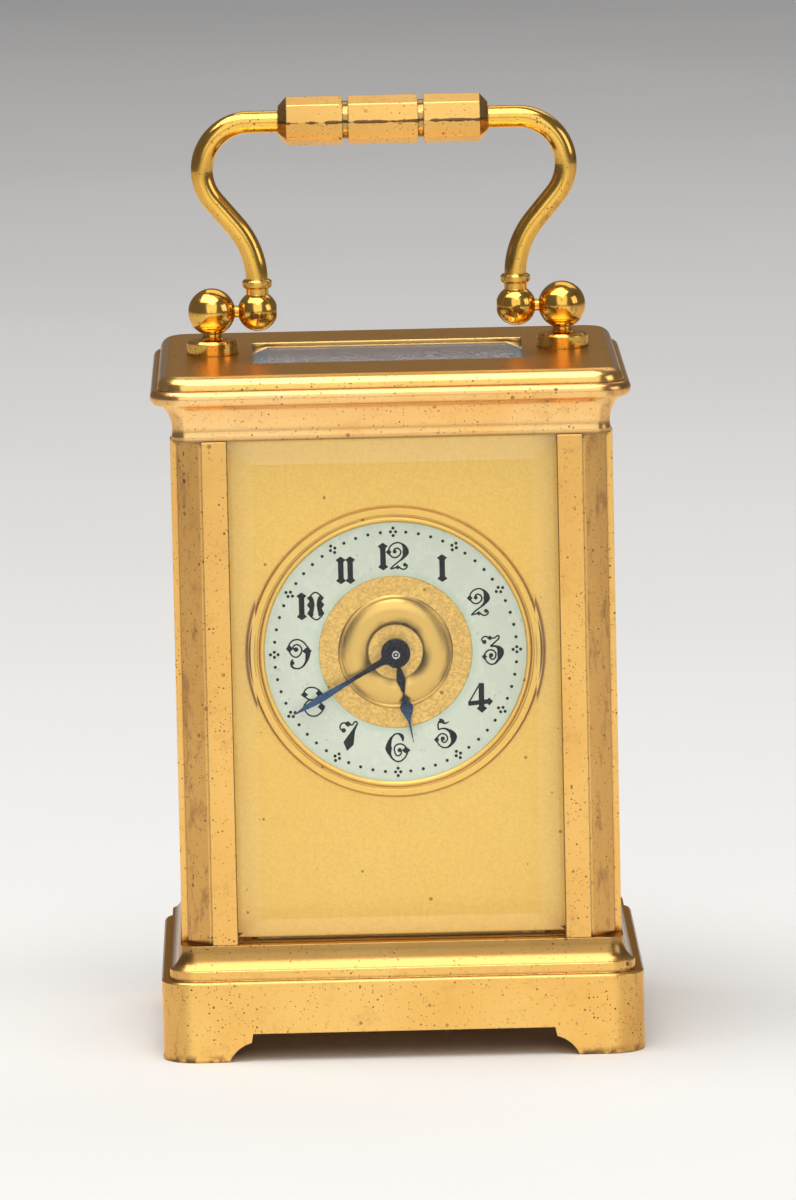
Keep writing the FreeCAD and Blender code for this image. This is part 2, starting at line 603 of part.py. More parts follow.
SCREW_Y = f"{CASE_DEPTH} / 2 - Dim.pillar_screw_inset"
SCREW_HOLE = "Dim.screw_radius + Dim.pivot_play"
PILLAR_X = f"{CASE_WIDTH} / 2 - Dim.pillar_size"
DECK_SCREW_X = f"({WELL_WIDTH} + {DECK_WIDTH}) / 4"
DECK_SCREWS = [(f"{side} * ({DECK_SCREW_X})", y) for side in (-1, 1)
               for y in (f"-({WELL_FRONT} + {DECK_FRONT}) / 2", f"({WELL_BACK} + {DECK_BACK}) / 2")]
DOOR_EDGE = f"{PILLAR_X} - Dim.door_play"
DOOR_PIVOT_X = f"{DOOR_EDGE} - Dim.door_pivot_inset"
DOOR_PIVOT_Y = f"({CASE_DEPTH} - Dim.door_thickness) / 2"
DOOR_BOTTOM = "Dim.base_height + Dim.door_rise"
DOOR_TOP = f"{CASE_TOP} - Dim.door_rise"
PILLAR_SCREWS = [(f"{sx} * ({SCREW_X})", f"{sy} * ({SCREW_Y})") for sx in (-1, 1) for sy in (-1, 1)]


# Base

def base_frame():
    """Moulded walls swept around the plan, a floor with a well for the movement, and arched feet."""
    body = new_body("base_frame")
    spine = rounded(sketch_on(body, "XY_Plane"), "Dim.base_width / 2", "Dim.base_depth / 2",
                    "Dim.base_corner")
    edge = "-(Dim.base_depth / 2)"
    band_top = "Dim.plinth_height + Dim.band_height"
    wall = f"{edge} + Dim.moulding_wall"
    profile = outline(sketch_on(body, "YZ_Plane"), [
        (edge, "0"), (wall, "0"), (wall, "Dim.base_height"),
        (f"{edge} + Dim.cavetto_head", "Dim.base_height", "Dim.cavetto_radius"),
        (f"{edge} + Dim.cavetto_foot", band_top),
        (f"{edge} + Dim.band_inset", band_top), (f"{edge} + Dim.band_inset", "Dim.plinth_height"),
        (f"{edge} + Dim.plinth_edge", "Dim.plinth_height"),
        (edge, "Dim.plinth_height - Dim.plinth_edge")])
    sweep(body, profile, spine)

    inset = "Dim.moulding_wall - Dim.moulding_lap"
    floor = sketch_on(body, "XY_Plane", ("0", "0", FLOOR_BELOW))
    rounded(floor, f"Dim.base_width / 2 - ({inset})", f"Dim.base_depth / 2 - ({inset})",
            f"Dim.base_corner - ({inset})")
    rectangle(floor, f"{WELL_WIDTH} / 2", f"-{WELL_FRONT}", WELL_BACK)
    for x, y in PILLAR_SCREWS + DECK_SCREWS:
        hole(floor, x, y, SCREW_HOLE)
    pad(body, floor, "Dim.base_floor")

    for plane, half in (("XZ_Plane", "Dim.base_width / 2"), ("YZ_Plane", "Dim.base_depth / 2")):
        pocket(body, arch(sketch_on(body, plane), f"{half} - Dim.foot_width"))
    bearing = hole(sketch_on(body, "XY_Plane", ("0", "0", "Dim.base_height")), DOOR_PIVOT_X, DOOR_PIVOT_Y,
                   "Dim.door_pivot_radius + Dim.pivot_play")
    pocket(body, bearing, "Dim.door_pivot_length")


def arch(sketch, half):
    """The opening between two feet: each foot is hollowed and then rises in a steep step."""
    side = [(half, "0", "-Dim.foot_radius"),
            (f"{half} - Dim.foot_sweep", "Dim.foot_curve"),
            (f"{half} - Dim.foot_toe", "Dim.arch_height")]
    other = [(f"-({point[0]})", point[1]) for point in reversed(side)]
    other[-2] = other[-2] + (side[0][2],)
    return outline(sketch, side + other)


def base_deck():
    """The plate that closes the well from below and carries the movement."""
    low = f"{FLOOR_BELOW} - Dim.deck_thickness"
    plate = block((f"-{DECK_WIDTH} / 2", f"-{DECK_FRONT}", low),
                  (DECK_WIDTH, f"{DECK_FRONT} + {DECK_BACK}", "Dim.deck_thickness"))
    spots = DECK_SCREWS + [(f"{side} * ({SPACER_X})", SEAT_Y) for side in (-1, 1)]
    holes = [rod(SCREW_HOLE, "Dim.deck_thickness", (x, y, low)) for x, y in spots]
    keep(cut(plate, *holes), "base_deck")


# Pillars

def pillar(label, sx, sy, slot_at_front):
    """A corner pillar with a canted outer edge and slots for the glasses beside it."""
    size = "Dim.pillar_size"
    slot_end = "Dim.slot_inset + Dim.slot_width"
    strip = f"{size} - Dim.strip_width"
    groove = f"{strip} - Dim.strip_step"
    seat = f"{size} - Dim.slot_depth"
    front_slot = [(size, "Dim.slot_inset"), (seat, "Dim.slot_inset"), (seat, slot_end), (size, slot_end)]
    section = [(size, "0")] + (front_slot if slot_at_front else []) + [
        (size, "Dim.pillar_back"), ("Dim.pillar_heel", "Dim.pillar_heel"), ("Dim.pillar_back", size),
        (slot_end, size), (slot_end, seat), ("Dim.slot_inset", seat), ("Dim.slot_inset", size),
        ("0", size), ("0", strip), ("Dim.strip_relief", strip),
        ("Dim.strip_relief", groove, f"{-sx * sy} * Dim.cant_radius"),
        (groove, "Dim.strip_relief"), (strip, "Dim.strip_relief"), (strip, "0")]
    body = new_body(label)
    sketch = sketch_on(body, "XY_Plane")
    outline(sketch, [
        (f"{sx} * ({CASE_WIDTH} / 2 - ({point[0]}))", f"{sy} * ({CASE_DEPTH} / 2 - ({point[1]}))")
        + tuple(point[2:]) for point in section])
    hole(sketch, f"{sx} * ({SCREW_X})", f"{sy} * ({SCREW_Y})", "Dim.screw_radius")
    pad(body, sketch, "Dim.pillar_height")
    place(body, ("0", "0", "Dim.base_height"))


def pillar_screws():
    """Screws from the base floor and the cornice flange into the ends of the pillars."""
    head = "Dim.screw_head_height"
    screws = []
    above = f"{CASE_TOP} + Dim.cornice_floor"
    for x, y in PILLAR_SCREWS:
        screws.append(fuse(rod("Dim.screw_head", head, (x, y, f"{FLOOR_BELOW} - {head}")),
                           rod("Dim.screw_radius", "Dim.screw_length", (x, y, FLOOR_BELOW))))
        stem = rod("Dim.screw_radius", "Dim.screw_length", (x, y, f"{above} - Dim.screw_length"))
        screws.append(fuse(rod("Dim.screw_head", head, (x, y, above)), stem))
    group("pillar_screws", screws)


def base_screws():
    """Screws that hold the deck to the base, and the movement to the deck."""
    head = "Dim.screw_head_height"
    low = f"{FLOOR_BELOW} - Dim.deck_thickness"
    spots = DECK_SCREWS + [(f"{side} * ({SPACER_X})", SEAT_Y) for side in (-1, 1)]
    group("base_screws", [
        fuse(rod("Dim.screw_head", head, (x, y, f"{low} - {head}")),
             rod("Dim.screw_radius", "Dim.seat_screw_length", (x, y, low))) for x, y in spots])


# Glass

def bevelled_glass(label, width, height, hidden, at, turn):
    """A plate with a wide bevel on its outer face. hidden is the margin that its slots cover at the sides."""
    plate = block((f"-({width}) / 2", "0", f"-({height}) / 2"), (width, "Dim.glass_edge", height))
    wedge = doc.addObject("Part::Wedge", "Bevel")
    side = f"Dim.glass_bevel + {hidden}"
    spans = {"X": (width, side), "Z": (height, "Dim.glass_bevel")}
    for letter, (span, bevel) in spans.items():
        wedge.setExpression(f"{letter}min", f"-({span}) / 2")
        wedge.setExpression(f"{letter}max", f"({span}) / 2")
        wedge.setExpression(f"{letter}2min", f"-({span}) / 2 + {bevel}")
        wedge.setExpression(f"{letter}2max", f"({span}) / 2 - ({bevel})")
    wedge.setExpression("Ymin", "Dim.glass_edge")
    wedge.setExpression("Ymax", "Dim.glass_edge + Dim.glass_rise")
    glass = fuse(plate, wedge)
    place(glass, at, turn)
    keep(glass, label)


def case_glasses():
    """Front and side glasses, each standing in the slots of its two pillars."""
    slot = "Dim.pillar_size - Dim.slot_depth + Dim.glass_play"
    hidden = "Dim.slot_depth - Dim.glass_play"
    height = "Dim.pillar_height - 2 * Dim.glass_play"
    middle = "Dim.base_height + Dim.pillar_height / 2"
    back = "Dim.slot_inset + Dim.slot_width - Dim.glass_play"
    width = f"{CASE_WIDTH} - 2 * ({slot})"
    depth = f"{CASE_DEPTH} - 2 * ({slot})"
    bevelled_glass("front_glass", width, height, hidden, ("0", f"-({CASE_DEPTH} / 2 - ({back}))", middle),
                   FreeCAD.Rotation(FreeCAD.Vector(0, 0, 1), 180))
    for label, sx in (("left_glass", -1), ("right_glass", 1)):
        bevelled_glass(label, depth, height, hidden, (f"{sx} * ({CASE_WIDTH} / 2 - ({back}))", "0", middle),
                       FreeCAD.Rotation(FreeCAD.Vector(0, 0, 1), -90 * sx))


# Cornice and top

def cornice_frame():
    """A cove and a bead swept around the plan, with a flange that sits on the pillars."""
    body = new_body("cornice_frame")
    spine = rounded(sketch_on(body, "XY_Plane"), f"{CORNICE_WIDTH} / 2", f"{CORNICE_DEPTH} / 2",
                    "Dim.base_corner")
    edge = f"-({CORNICE_DEPTH} / 2)"
    bead_low = "Dim.cornice_height - Dim.bead_height"
    swell = "((Dim.bead_height / 2) ^ 2 + Dim.bead_bulge ^ 2) / (2 * Dim.bead_bulge)"
    wall = f"{edge} + Dim.moulding_wall"
    profile = outline(sketch_on(body, "YZ_Plane"), [
        (f"{edge} + Dim.lip_inset", "0"), (wall, "0"), (wall, "Dim.cornice_height"),
        (f"{edge} + Dim.bead_bulge", "Dim.cornice_height", f"-({swell})"),
        (f"{edge} + Dim.bead_bulge", bead_low),
        (f"{edge} + Dim.cove_inset", bead_low, "Dim.cove_radius"),
        (f"{edge} + Dim.lip_inset", "Dim.lip_height")])
    sweep(body, profile, spine)

    inset = "Dim.moulding_wall - Dim.moulding_lap"
    flange = sketch_on(body, "XY_Plane")
    rounded(flange, f"{CORNICE_WIDTH} / 2 - ({inset})", f"{CORNICE_DEPTH} / 2 - ({inset})",
            f"Dim.base_corner - ({inset})")
    rectangle(flange, f"{WELL_WIDTH} / 2", f"-{WELL_FRONT}", WELL_BACK)
    for x, y in PILLAR_SCREWS:
        hole(flange, x, y, SCREW_HOLE)
    pad(body, flange, "Dim.cornice_floor")
    bearing = hole(sketch_on(body, "XY_Plane"), DOOR_PIVOT_X, DOOR_PIVOT_Y,
                   "Dim.door_pivot_radius + Dim.pivot_play")
    pocket(body, bearing, "Dim.door_pivot_length", reverse=True)
    place(body, ("0", "0", CASE_TOP))


def top_plate():
    """The plate over the cornice, with a rounded edge and a rebated window."""
    body = new_body("top_plate")
    plate = rounded(sketch_on(body, "XY_Plane"), f"{TOP_WIDTH} / 2", f"{TOP_DEPTH} / 2", "Dim.top_corner")
    for sx in (-1, 1):
        hole(plate, f"{sx} * {POST_SPACING} / 2", "0", "Dim.stud_radius")
    feature = pad(body, plate, "Dim.top_thickness")
    half_x = number(TOP_WIDTH) / 2
    half_y = number(TOP_DEPTH) / 2
    corner = dim("top_corner")
    top_edges = edges_where(feature, lambda box: box.ZMin > dim("top_thickness") - 1e-6 and (
        max(abs(box.XMin), abs(box.XMax)) > half_x - corner - 1e-6
        or max(abs(box.YMin), abs(box.YMax)) > half_y - corner - 1e-6))
    soften(body, "Fillet", top_edges, "Dim.top_round")
    doc.recompute()
    window = rectangle(sketch_on(body, "XY_Plane"), f"{WINDOW_WIDTH} / 2", f"-{WINDOW_DEPTH} / 2",
                       f"{WINDOW_DEPTH} / 2")
    pocket(body, window)
    ledge = rectangle(sketch_on(body, "XY_Plane"), f"{WINDOW_WIDTH} / 2 + Dim.rebate_width",
                      f"-({WINDOW_DEPTH} / 2 + Dim.rebate_width)", f"{WINDOW_DEPTH} / 2 + Dim.rebate_width")
    pocket(body, ledge, REBATE_DEPTH, reverse=True)
    place(body, ("0", "0", CORNICE_TOP))


def top_glass():
    """The bevelled top glass, let into the rebate from below and held by two clips."""
    width = f"{WINDOW_WIDTH} + 2 * (Dim.rebate_width - Dim.glass_play)"
    depth = f"{WINDOW_DEPTH} + 2 * (Dim.rebate_width - Dim.glass_play)"
    bevelled_glass("top_glass", width, depth, "0", ("0", "0", CORNICE_TOP),
                   FreeCAD.Rotation(FreeCAD.Vector(1, 0, 0), 90))
    low = f"{CORNICE_TOP} - Dim.clip_thickness"
    size = ("Dim.clip_width", "Dim.clip_length", "Dim.clip_thickness")
    group("top_glass_clips", [
        block((f"{side} * {CLIP_SPACING} / 2 - Dim.clip_width / 2", "-Dim.clip_length / 2", low), size)
        for side in (-1, 1)])


# Handle

def handle_post(label, side):
    """A turned post with a ball, a stud through the top plate and the pin that the handle turns on."""
    body = new_body(label)
    ball_low = "Dim.pivot_height - sqrt(Dim.post_ball ^ 2 - Dim.post_neck ^ 2)"
    stud_low = "-(Dim.top_thickness + Dim.nut_height + Dim.stud_end)"
    revolve(body, outline(sketch_on(body, "XZ_Plane"), [
        ("0", stud_low), ("Dim.stud_radius", stud_low), ("Dim.stud_radius", "0"),
        ("Dim.post_foot_radius", "0"),
        ("Dim.post_foot_radius", "Dim.post_foot_height - Dim.post_foot_edge"),
        ("Dim.post_foot_radius - Dim.post_foot_edge", "Dim.post_foot_height"),
        ("Dim.post_flare", "Dim.post_foot_height", "Dim.post_flare_radius"),
        ("Dim.post_neck", ball_low, "-Dim.post_ball"),
        ("0", "Dim.pivot_height + Dim.post_ball")]))
    pin = hole(sketch_on(body, "YZ_Plane"), "0", "Dim.pivot_height", "Dim.pivot_radius")
    pad(body, pin, f"({POST_SPACING} - {BAIL_SPACING}) / 2 + Dim.bail_ball / 2", reverse=side > 0)
    place(body, (f"{side} * {POST_SPACING} / 2", "0", TOP))


def handle_post_nuts():
    """Six-sided nuts under the top plate."""
    nuts = []
    for side in (-1, 1):
        at = (f"{side} * {POST_SPACING} / 2", "0", f"{CORNICE_TOP} - Dim.nut_height")
        prism = doc.addObject("Part::Prism", "Hexagon")
        prism.Polygon = 6
        prism.setExpression("Circumradius", "Dim.nut_radius")
        prism.setExpression("Height", "Dim.nut_height")
        place(prism, at)
        nuts.append(cut(prism, rod("Dim.stud_radius", "Dim.nut_height", at)))
    group("handle_post_nuts", nuts)


def handle_arm(label, side):
    """A bent rod from the end of the grip down to a collar and a ball that turns on the post's pin."""
    body = new_body(label)
    turn = "cos(Dim.arm_bow)"
    slope = "sin(Dim.arm_bow)"
    # Where the upper bend ends, and the run and lower bend that lead from there to upright
    bend_x = f"({ARM_REACH} + Dim.arm_bend * {turn})"
    bend_z = f"(Dim.grip_height - Dim.arm_bend - Dim.arm_bend * {slope})"
    across = f"({bend_x} - {BAIL_SPACING} / 2)"
    down = f"({bend_z} - Dim.arm_foot)"
    run = f"(({across} * {slope} - {down} * (1 - {turn})) / (1 - {turn}))"
    low_bend = f"(({down} * {slope} - {across} * {turn}) / (1 - {turn}))"
    spots = [
        (f"{GRIP_LENGTH} / 2", "Dim.grip_height"),
        (ARM_REACH, "Dim.grip_height", f"{side} * Dim.arm_bend"),
        (f"{ARM_REACH} + Dim.arm_bend", "Dim.grip_height - Dim.arm_bend", f"{side} * Dim.arm_bend"),
        (bend_x, bend_z),
        (f"{bend_x} - {run} * {slope}", f"{bend_z} - {run} * {turn}", f"{-side} * {low_bend}"),
        (f"{BAIL_SPACING} / 2", "Dim.arm_foot"),
        (f"{BAIL_SPACING} / 2", "Dim.collar_low")]
    spots = [(f"{side} * ({spot[0]})",) + spot[1:] for spot in spots]
    spine = path(sketch_on(body, "XZ_Plane"), spots, False)
    start = sketch_on(body, "YZ_Plane", ("0", "0", f"{side} * {GRIP_LENGTH} / 2"))
    sweep(body, hole(start, "0", "Dim.grip_height", "Dim.arm_radius"), spine)

    neck = "sqrt(Dim.bail_ball ^ 2 - Dim.bail_neck ^ 2)"
    turned = sketch_on(body, "XZ_Plane", (f"{side} * {BAIL_SPACING} / 2", "0", "0"))
    revolve(body, outline(turned, [
        ("0", "-Dim.bail_ball", "-Dim.bail_ball"), ("Dim.bail_neck", neck),
        ("Dim.bail_neck", "Dim.collar_low"),
        ("Dim.collar_radius - Dim.collar_round", "Dim.collar_low"),
        ("Dim.collar_radius", "Dim.collar_low + Dim.collar_round"),
        ("Dim.collar_radius", "Dim.collar_high - Dim.collar_round"),
        ("Dim.collar_radius - Dim.collar_round", "Dim.collar_high"), ("0", "Dim.collar_high")]))
    doc.recompute()
    pocket(body, hole(sketch_on(body, "YZ_Plane"), "0", "0", "Dim.pivot_radius + Dim.pivot_play"))
    place(body, ("0", "0", PIVOT))


def handle_grip():
    """An eight-sided bar with bevelled ends and two turned grooves."""
    body = new_body("handle_grip")
    section = sketch_on(body, "YZ_Plane")
    sides = 8
    turns = [360 * side / sides for side in range(sides)]
    outline(section, [(f"Dim.grip_radius * cos({turn})", f"Dim.grip_radius * sin({turn})") for turn in turns])
    bar = pad(body, section, GRIP_LENGTH, middle=True)
    half = number(GRIP_LENGTH) / 2
    ends = edges_where(bar, lambda box: abs(box.XMax - box.XMin) < 1e-6 and abs(abs(box.XMax) - half) < 1e-6)
    soften(body, "Chamfer", ends, "Dim.grip_edge")
    doc.recompute()
    before = body.Tip.Shape.Volume
    rings = sketch_on(body, "XZ_Plane")
    inner = "Dim.grip_middle / 2"
    outer = "Dim.grip_middle / 2 + Dim.grip_groove"
    floor = "Dim.grip_radius * cos(180 / 8) - Dim.groove_depth"
    rim = "Dim.grip_radius + Dim.grip_groove"
    for side in (-1, 1):
        outline(rings, [(f"{side} * ({inner})", floor), (f"{side} * ({outer})", floor),
                        (f"{side} * ({outer})", rim), (f"{side} * ({inner})", rim)])
    groove = body.newObject("PartDesign::Groove", "Groove")
    groove.Profile = rings
    groove.ReferenceAxis = (rings, ["H_Axis"])
    groove.Angle = 360
    doc.recompute()
    if groove.Shape.Volume >= before:
        raise ValueError("handle_grip: the grooves cut nothing")
    place(body, ("0", "0", f"{PIVOT} + Dim.grip_height"))


# Rear door

def rear_door():
    """A glazed frame that turns on pivots in the base and the cornice, with a small pull."""
    body = new_body("rear_door_frame")
    back = f"-{CASE_DEPTH} / 2"
    inside = f"-({CASE_DEPTH} / 2 - Dim.door_thickness)"
    half = f"{DOOR_EDGE} - Dim.door_border"
    frame = sketch_on(body, "XZ_Plane", ("0", "0", back))
    rectangle(frame, DOOR_EDGE, DOOR_BOTTOM, DOOR_TOP)
    rectangle(frame, half, f"{DOOR_BOTTOM} + Dim.door_border", f"{DOOR_TOP} - Dim.door_border")
    hole(frame, KNOB_X, KNOB_Z, "Dim.knob_stem")
    feature = pad(body, frame, "Dim.door_thickness")
    edge = number(DOOR_EDGE)
    soften(body, "Fillet", edges_where(feature, lambda box: box.XMin > edge - 1e-6 and box.ZLength > 1),
           "Dim.door_thickness / 2 - Dim.door_play / 4")
    doc.recompute()
    seat = sketch_on(body, "XZ_Plane", ("0", "0", inside))
    rectangle(seat, f"{half} + Dim.door_rebate", f"{DOOR_BOTTOM} + Dim.door_border - Dim.door_rebate",
              f"{DOOR_TOP} - Dim.door_border + Dim.door_rebate")
    pocket(body, seat, "Dim.door_rebate")
    for level, lower in ((DOOR_BOTTOM, True), (DOOR_TOP, False)):
        pivot = hole(sketch_on(body, "XY_Plane", ("0", "0", level)), DOOR_PIVOT_X, DOOR_PIVOT_Y,
                     "Dim.door_pivot_radius")
        pad(body, pivot, "Dim.door_pivot_length", reverse=lower)

    play = "2 * Dim.glass_play"
    width = f"2 * ({half} + Dim.door_rebate) - {play}"
    low = f"{DOOR_BOTTOM} + Dim.door_border - Dim.door_rebate"
    keep(block((f"-({width}) / 2", f"{CASE_DEPTH} / 2 - Dim.door_thickness", f"{low} + Dim.glass_play"),
               (width, "Dim.door_rebate",
                f"{DOOR_TOP} - Dim.door_border + Dim.door_rebate - ({low}) - {play}")), "rear_door_glass")

    knob = new_body("door_knob")
    revolve(knob, outline(sketch_on(knob, "XZ_Plane"), [
        ("0", "-Dim.door_thickness"), ("Dim.knob_stem", "-Dim.door_thickness"),
        ("Dim.knob_stem", "0.2 * Dim.knob_length"),
        ("0.9 * Dim.knob_radius", "0.4 * Dim.knob_length"), ("Dim.knob_radius", "0.6 * Dim.knob_length"),
        ("Dim.knob_radius", "0.85 * Dim.knob_length"), ("0.8 * Dim.knob_radius", "Dim.knob_length"),
        ("0", "Dim.knob_length")]))
    place(knob, (KNOB_X, f"{CASE_DEPTH} / 2", KNOB_Z), ALONG_Y)


KNOB_X = f"-({DOOR_EDGE} - Dim.door_border / 2)"
KNOB_Z = "Dim.base_height + Dim.pillar_height / 2"


# Dial and hands

def dial_mask():
    """The gilt plate behind the front glass, on four feet that stand on the movement."""
    body = new_body("dial_mask")
    plate = sketch_on(body, "XZ_Plane", ("0", "0", f"{MASK_FRONT} - Dim.mask_thickness"))
    rectangle(plate, f"{MASK_WIDTH} / 2", "Dim.base_height + Dim.mask_margin",
              f"{CASE_TOP} - Dim.mask_margin")
    hole(plate, "0", "Dim.dial_height", "Dim.dial_hole")
    pad(body, plate, "Dim.mask_thickness")
    front = f"{FRONT_GAP} + Dim.plate_thickness"
    feet = sketch_on(body, "XZ_Plane", ("0", "0", front))
    for side in (-1, 1):
        for level in (f"{FLOOR_BELOW} + Dim.dial_foot_low", f"{PLATE_TOP} - Dim.dial_foot_high"):
            hole(feet, f"{side} * Dim.dial_foot_spacing / 2", level, "Dim.dial_foot_radius")
    pad(body, feet, f"{MASK_FRONT} - Dim.mask_thickness - ({front})")


def turned_dial_piece(label, profile):
    """A ring turned about the middle of the dial. Its profile is radius against distance off the mask."""
    body = new_body(label)
    revolve(body, outline(sketch_on(body, "XZ_Plane"), profile))
    place(body, ("0", f"-{MASK_FRONT}", "Dim.dial_height"), FACING_FRONT)


def dial():
    """Enamel chapter ring, the bezel that holds it, and the gilt center."""
    turned_dial_piece("chapter_ring", [
        ("Dim.ring_inner", "0"), ("Dim.ring_outer", "0"),
        ("Dim.ring_outer", "Dim.ring_thickness", "-Dim.ring_crown_radius"),
        ("Dim.ring_inner", "Dim.ring_thickness")])
    flat = "Dim.bezel_height"
    turned_dial_piece("dial_bezel", [
        ("Dim.ring_outer", "0"), (BEZEL_OUTER, "0"), (BEZEL_OUTER, f"{flat} - 0.3 * {flat}"),
        (f"{BEZEL_OUTER} - 0.3 * {flat}", flat), (BEZEL_FLAT, flat),
        (BEZEL_FLAT, f"{flat} - Dim.bezel_groove"),
        (f"{BEZEL_FLAT} - Dim.bezel_groove", f"{flat} - Dim.bezel_groove", "-Dim.bezel_bead_radius"),
        (BEZEL_LIP, f"{flat} - Dim.bezel_groove"),
        ("Dim.ring_outer", f"{flat} - Dim.bezel_groove")])
    level = "Dim.center_thickness"
    turned_dial_piece("dial_center", [
        ("Dim.center_bore", "0"), ("Dim.ring_inner", "0"), ("Dim.ring_inner", level),
        ("Dim.center_rim", level, "-Dim.center_bead_radius"),
        (CENTER_STEP, level, "-Dim.center_swell_radius"),
        ("Dim.center_dish", level), ("Dim.center_bore", level)])


def hand(label, outline_points, plane, bore, degrees):
    """A flat hand that points up, turned clockwise to the time that it shows."""
    body = new_body(label)
    hub = hole(sketch_on(body, "XY_Plane"), "0", "0", "Dim.hand_hub")
    hole(hub, "0", "0", bore)
    pad(body, hub, "Dim.hand_thickness")
    start = f"{bore} + 0.2"
    right = [("Dim.stem_width / 2", start)] + outline_points
    left = [(f"-({x})", y) for x, y in reversed(right) if x != "0"]
    pad(body, outline(sketch_on(body, "XY_Plane"), right + left), "Dim.hand_thickness")
    turn = FACING_FRONT.multiply(FreeCAD.Rotation(FreeCAD.Vector(0, 0, 1), -number(degrees)))
    place(body, ("0", f"-({plane})", "Dim.dial_height"), turn)


def hands():
    """Blued hands: a slender leaf for the minutes and a spade for the hours."""
    narrow = "Dim.stem_width / 2"
    hand("minute_hand", [
        (narrow, "Dim.hand_hub"), (f"{narrow} * 0.8", "Dim.minute_hand_waist"),
        ("Dim.minute_hand_width / 2", "Dim.minute_hand_belly"), ("0", "Dim.minute_hand_length")],
        MINUTE_HAND_PLANE, "Dim.cannon_pipe", "6 * Dim.minutes_shown")
    hand("hour_hand", [
        (narrow, "Dim.hand_hub"), (f"2 * {narrow}", "Dim.hour_hand_leaf"),
        (f"{narrow} * 0.8", "Dim.hour_hand_waist"),
        ("Dim.hour_hand_width / 2", "Dim.hour_hand_bulb"), (f"{narrow} * 0.7", "Dim.hour_hand_tip"),
        ("0", "Dim.hour_hand_length")],
        HOUR_HAND_PLANE, "Dim.hour_pipe", "30 * Dim.hours_shown + Dim.minutes_shown / 2")
    nut_back = f"{MINUTE_HAND_PLANE} + Dim.hand_thickness"
    spot = ("0", f"-({nut_back})", "Dim.dial_height")
    nut = rod("Dim.hand_nut_radius", "Dim.hand_nut_height", spot, FACING_FRONT)
    bore = rod("Dim.center_arbor_radius", "Dim.hand_nut_height", spot, FACING_FRONT)
    keep(cut(nut, bore), "hand_nut")


# Movement: places of the arbors, each as (x, z)

CENTER = ("0", "Dim.dial_height")
BARREL = ("0", "Dim.dial_height - Dim.barrel_module * (Dim.barrel_teeth + Dim.center_leaves) / 2")
DRUM_RADIUS = "(Dim.barrel_module * Dim.barrel_teeth / 2 - Dim.barrel_step)"
SPRING_PITCH = (f"({DRUM_RADIUS} - Dim.barrel_wall - Dim.barrel_arbor_radius - Dim.spring_strip)"
                " / (Dim.spring_turns + 1)")
CENTER_TO_THIRD = "Dim.center_module * (Dim.center_teeth + Dim.third_leaves) / 2"
THIRD = (f"{CENTER_TO_THIRD} * cos(Dim.third_bearing)",
         f"Dim.dial_height + {CENTER_TO_THIRD} * sin(Dim.third_bearing)")
THIRD_TO_CONTRATE = "Dim.third_module * (Dim.third_teeth + Dim.contrate_leaves) / 2"
CONTRATE = (f"({THIRD[0]} - {THIRD_TO_CONTRATE} * cos(Dim.contrate_bearing))",
            f"({THIRD[1]} + {THIRD_TO_CONTRATE} * sin(Dim.contrate_bearing))")
MOTION_DISTANCE = "Dim.cannon_module * (Dim.cannon_leaves + Dim.minute_teeth) / 2"
MINUTE = (f"{MOTION_DISTANCE} * cos(Dim.motion_bearing)",
          f"Dim.dial_height - {MOTION_DISTANCE} * sin(Dim.motion_bearing)")
HOUR_MODULE = f"2 * {MOTION_DISTANCE} / (Dim.minute_leaves + Dim.hour_teeth)"
SPACER_X = f"{PLATE_WIDTH} / 2 - Dim.spacer_inset"
SPACER_LOW = f"{FLOOR_BELOW} + Dim.spacer_inset"
PLATE_TOP = f"({CONTRATE[1]} + Dim.contrate_radius + Dim.platform_gap)"
SPACER_HIGH = f"{PLATE_TOP} - Dim.spacer_inset"
SEAT_Y = f"({BACK_GAP} - {FRONT_GAP}) / 2"
CLICK_REACH = "(Dim.ratchet_radius + Dim.click_length)"
CLICK = (f"0.8 * {CLICK_REACH}", f"{BARREL[1]} + 0.35 * {CLICK_REACH}")
FRONT_INSIDE = f"{FRONT_GAP} - Dim.shoulder_play"
BACK_INSIDE = f"-({BACK_GAP} - Dim.shoulder_play)"
FRONT_OUTSIDE = f"{FRONT_GAP} + Dim.plate_thickness"
BACK_OUTSIDE = f"-({BACK_GAP} + Dim.plate_thickness)"


def bar(radius, low, high):
    """A cylinder between two levels on its axis."""
    return Part.makeCylinder(radius, high - low, FreeCAD.Vector(0, 0, low))


def square_bar(side, low, high):
    return Part.makeBox(side, side, high - low, FreeCAD.Vector(-side / 2, -side / 2, low))


def joined(shapes):
    """One solid from several that overlap or touch."""
    return shapes[0].fuse(shapes[1:]).removeSplitter()


def prism(points, low, high):
    """A straight prism over a closed outline."""
    wire = Part.makePolygon([FreeCAD.Vector(x, y, low) for x, y in points + points[:1]])
    return Part.Face(wire).extrude(FreeCAD.Vector(0, 0, high - low))


def bearing(start, end):
    """The direction from one arbor to another, in degrees from the right, seen from the front."""
    return math.degrees(math.atan2(number(end[1]) - number(start[1]), number(end[0]) - number(start[0])))


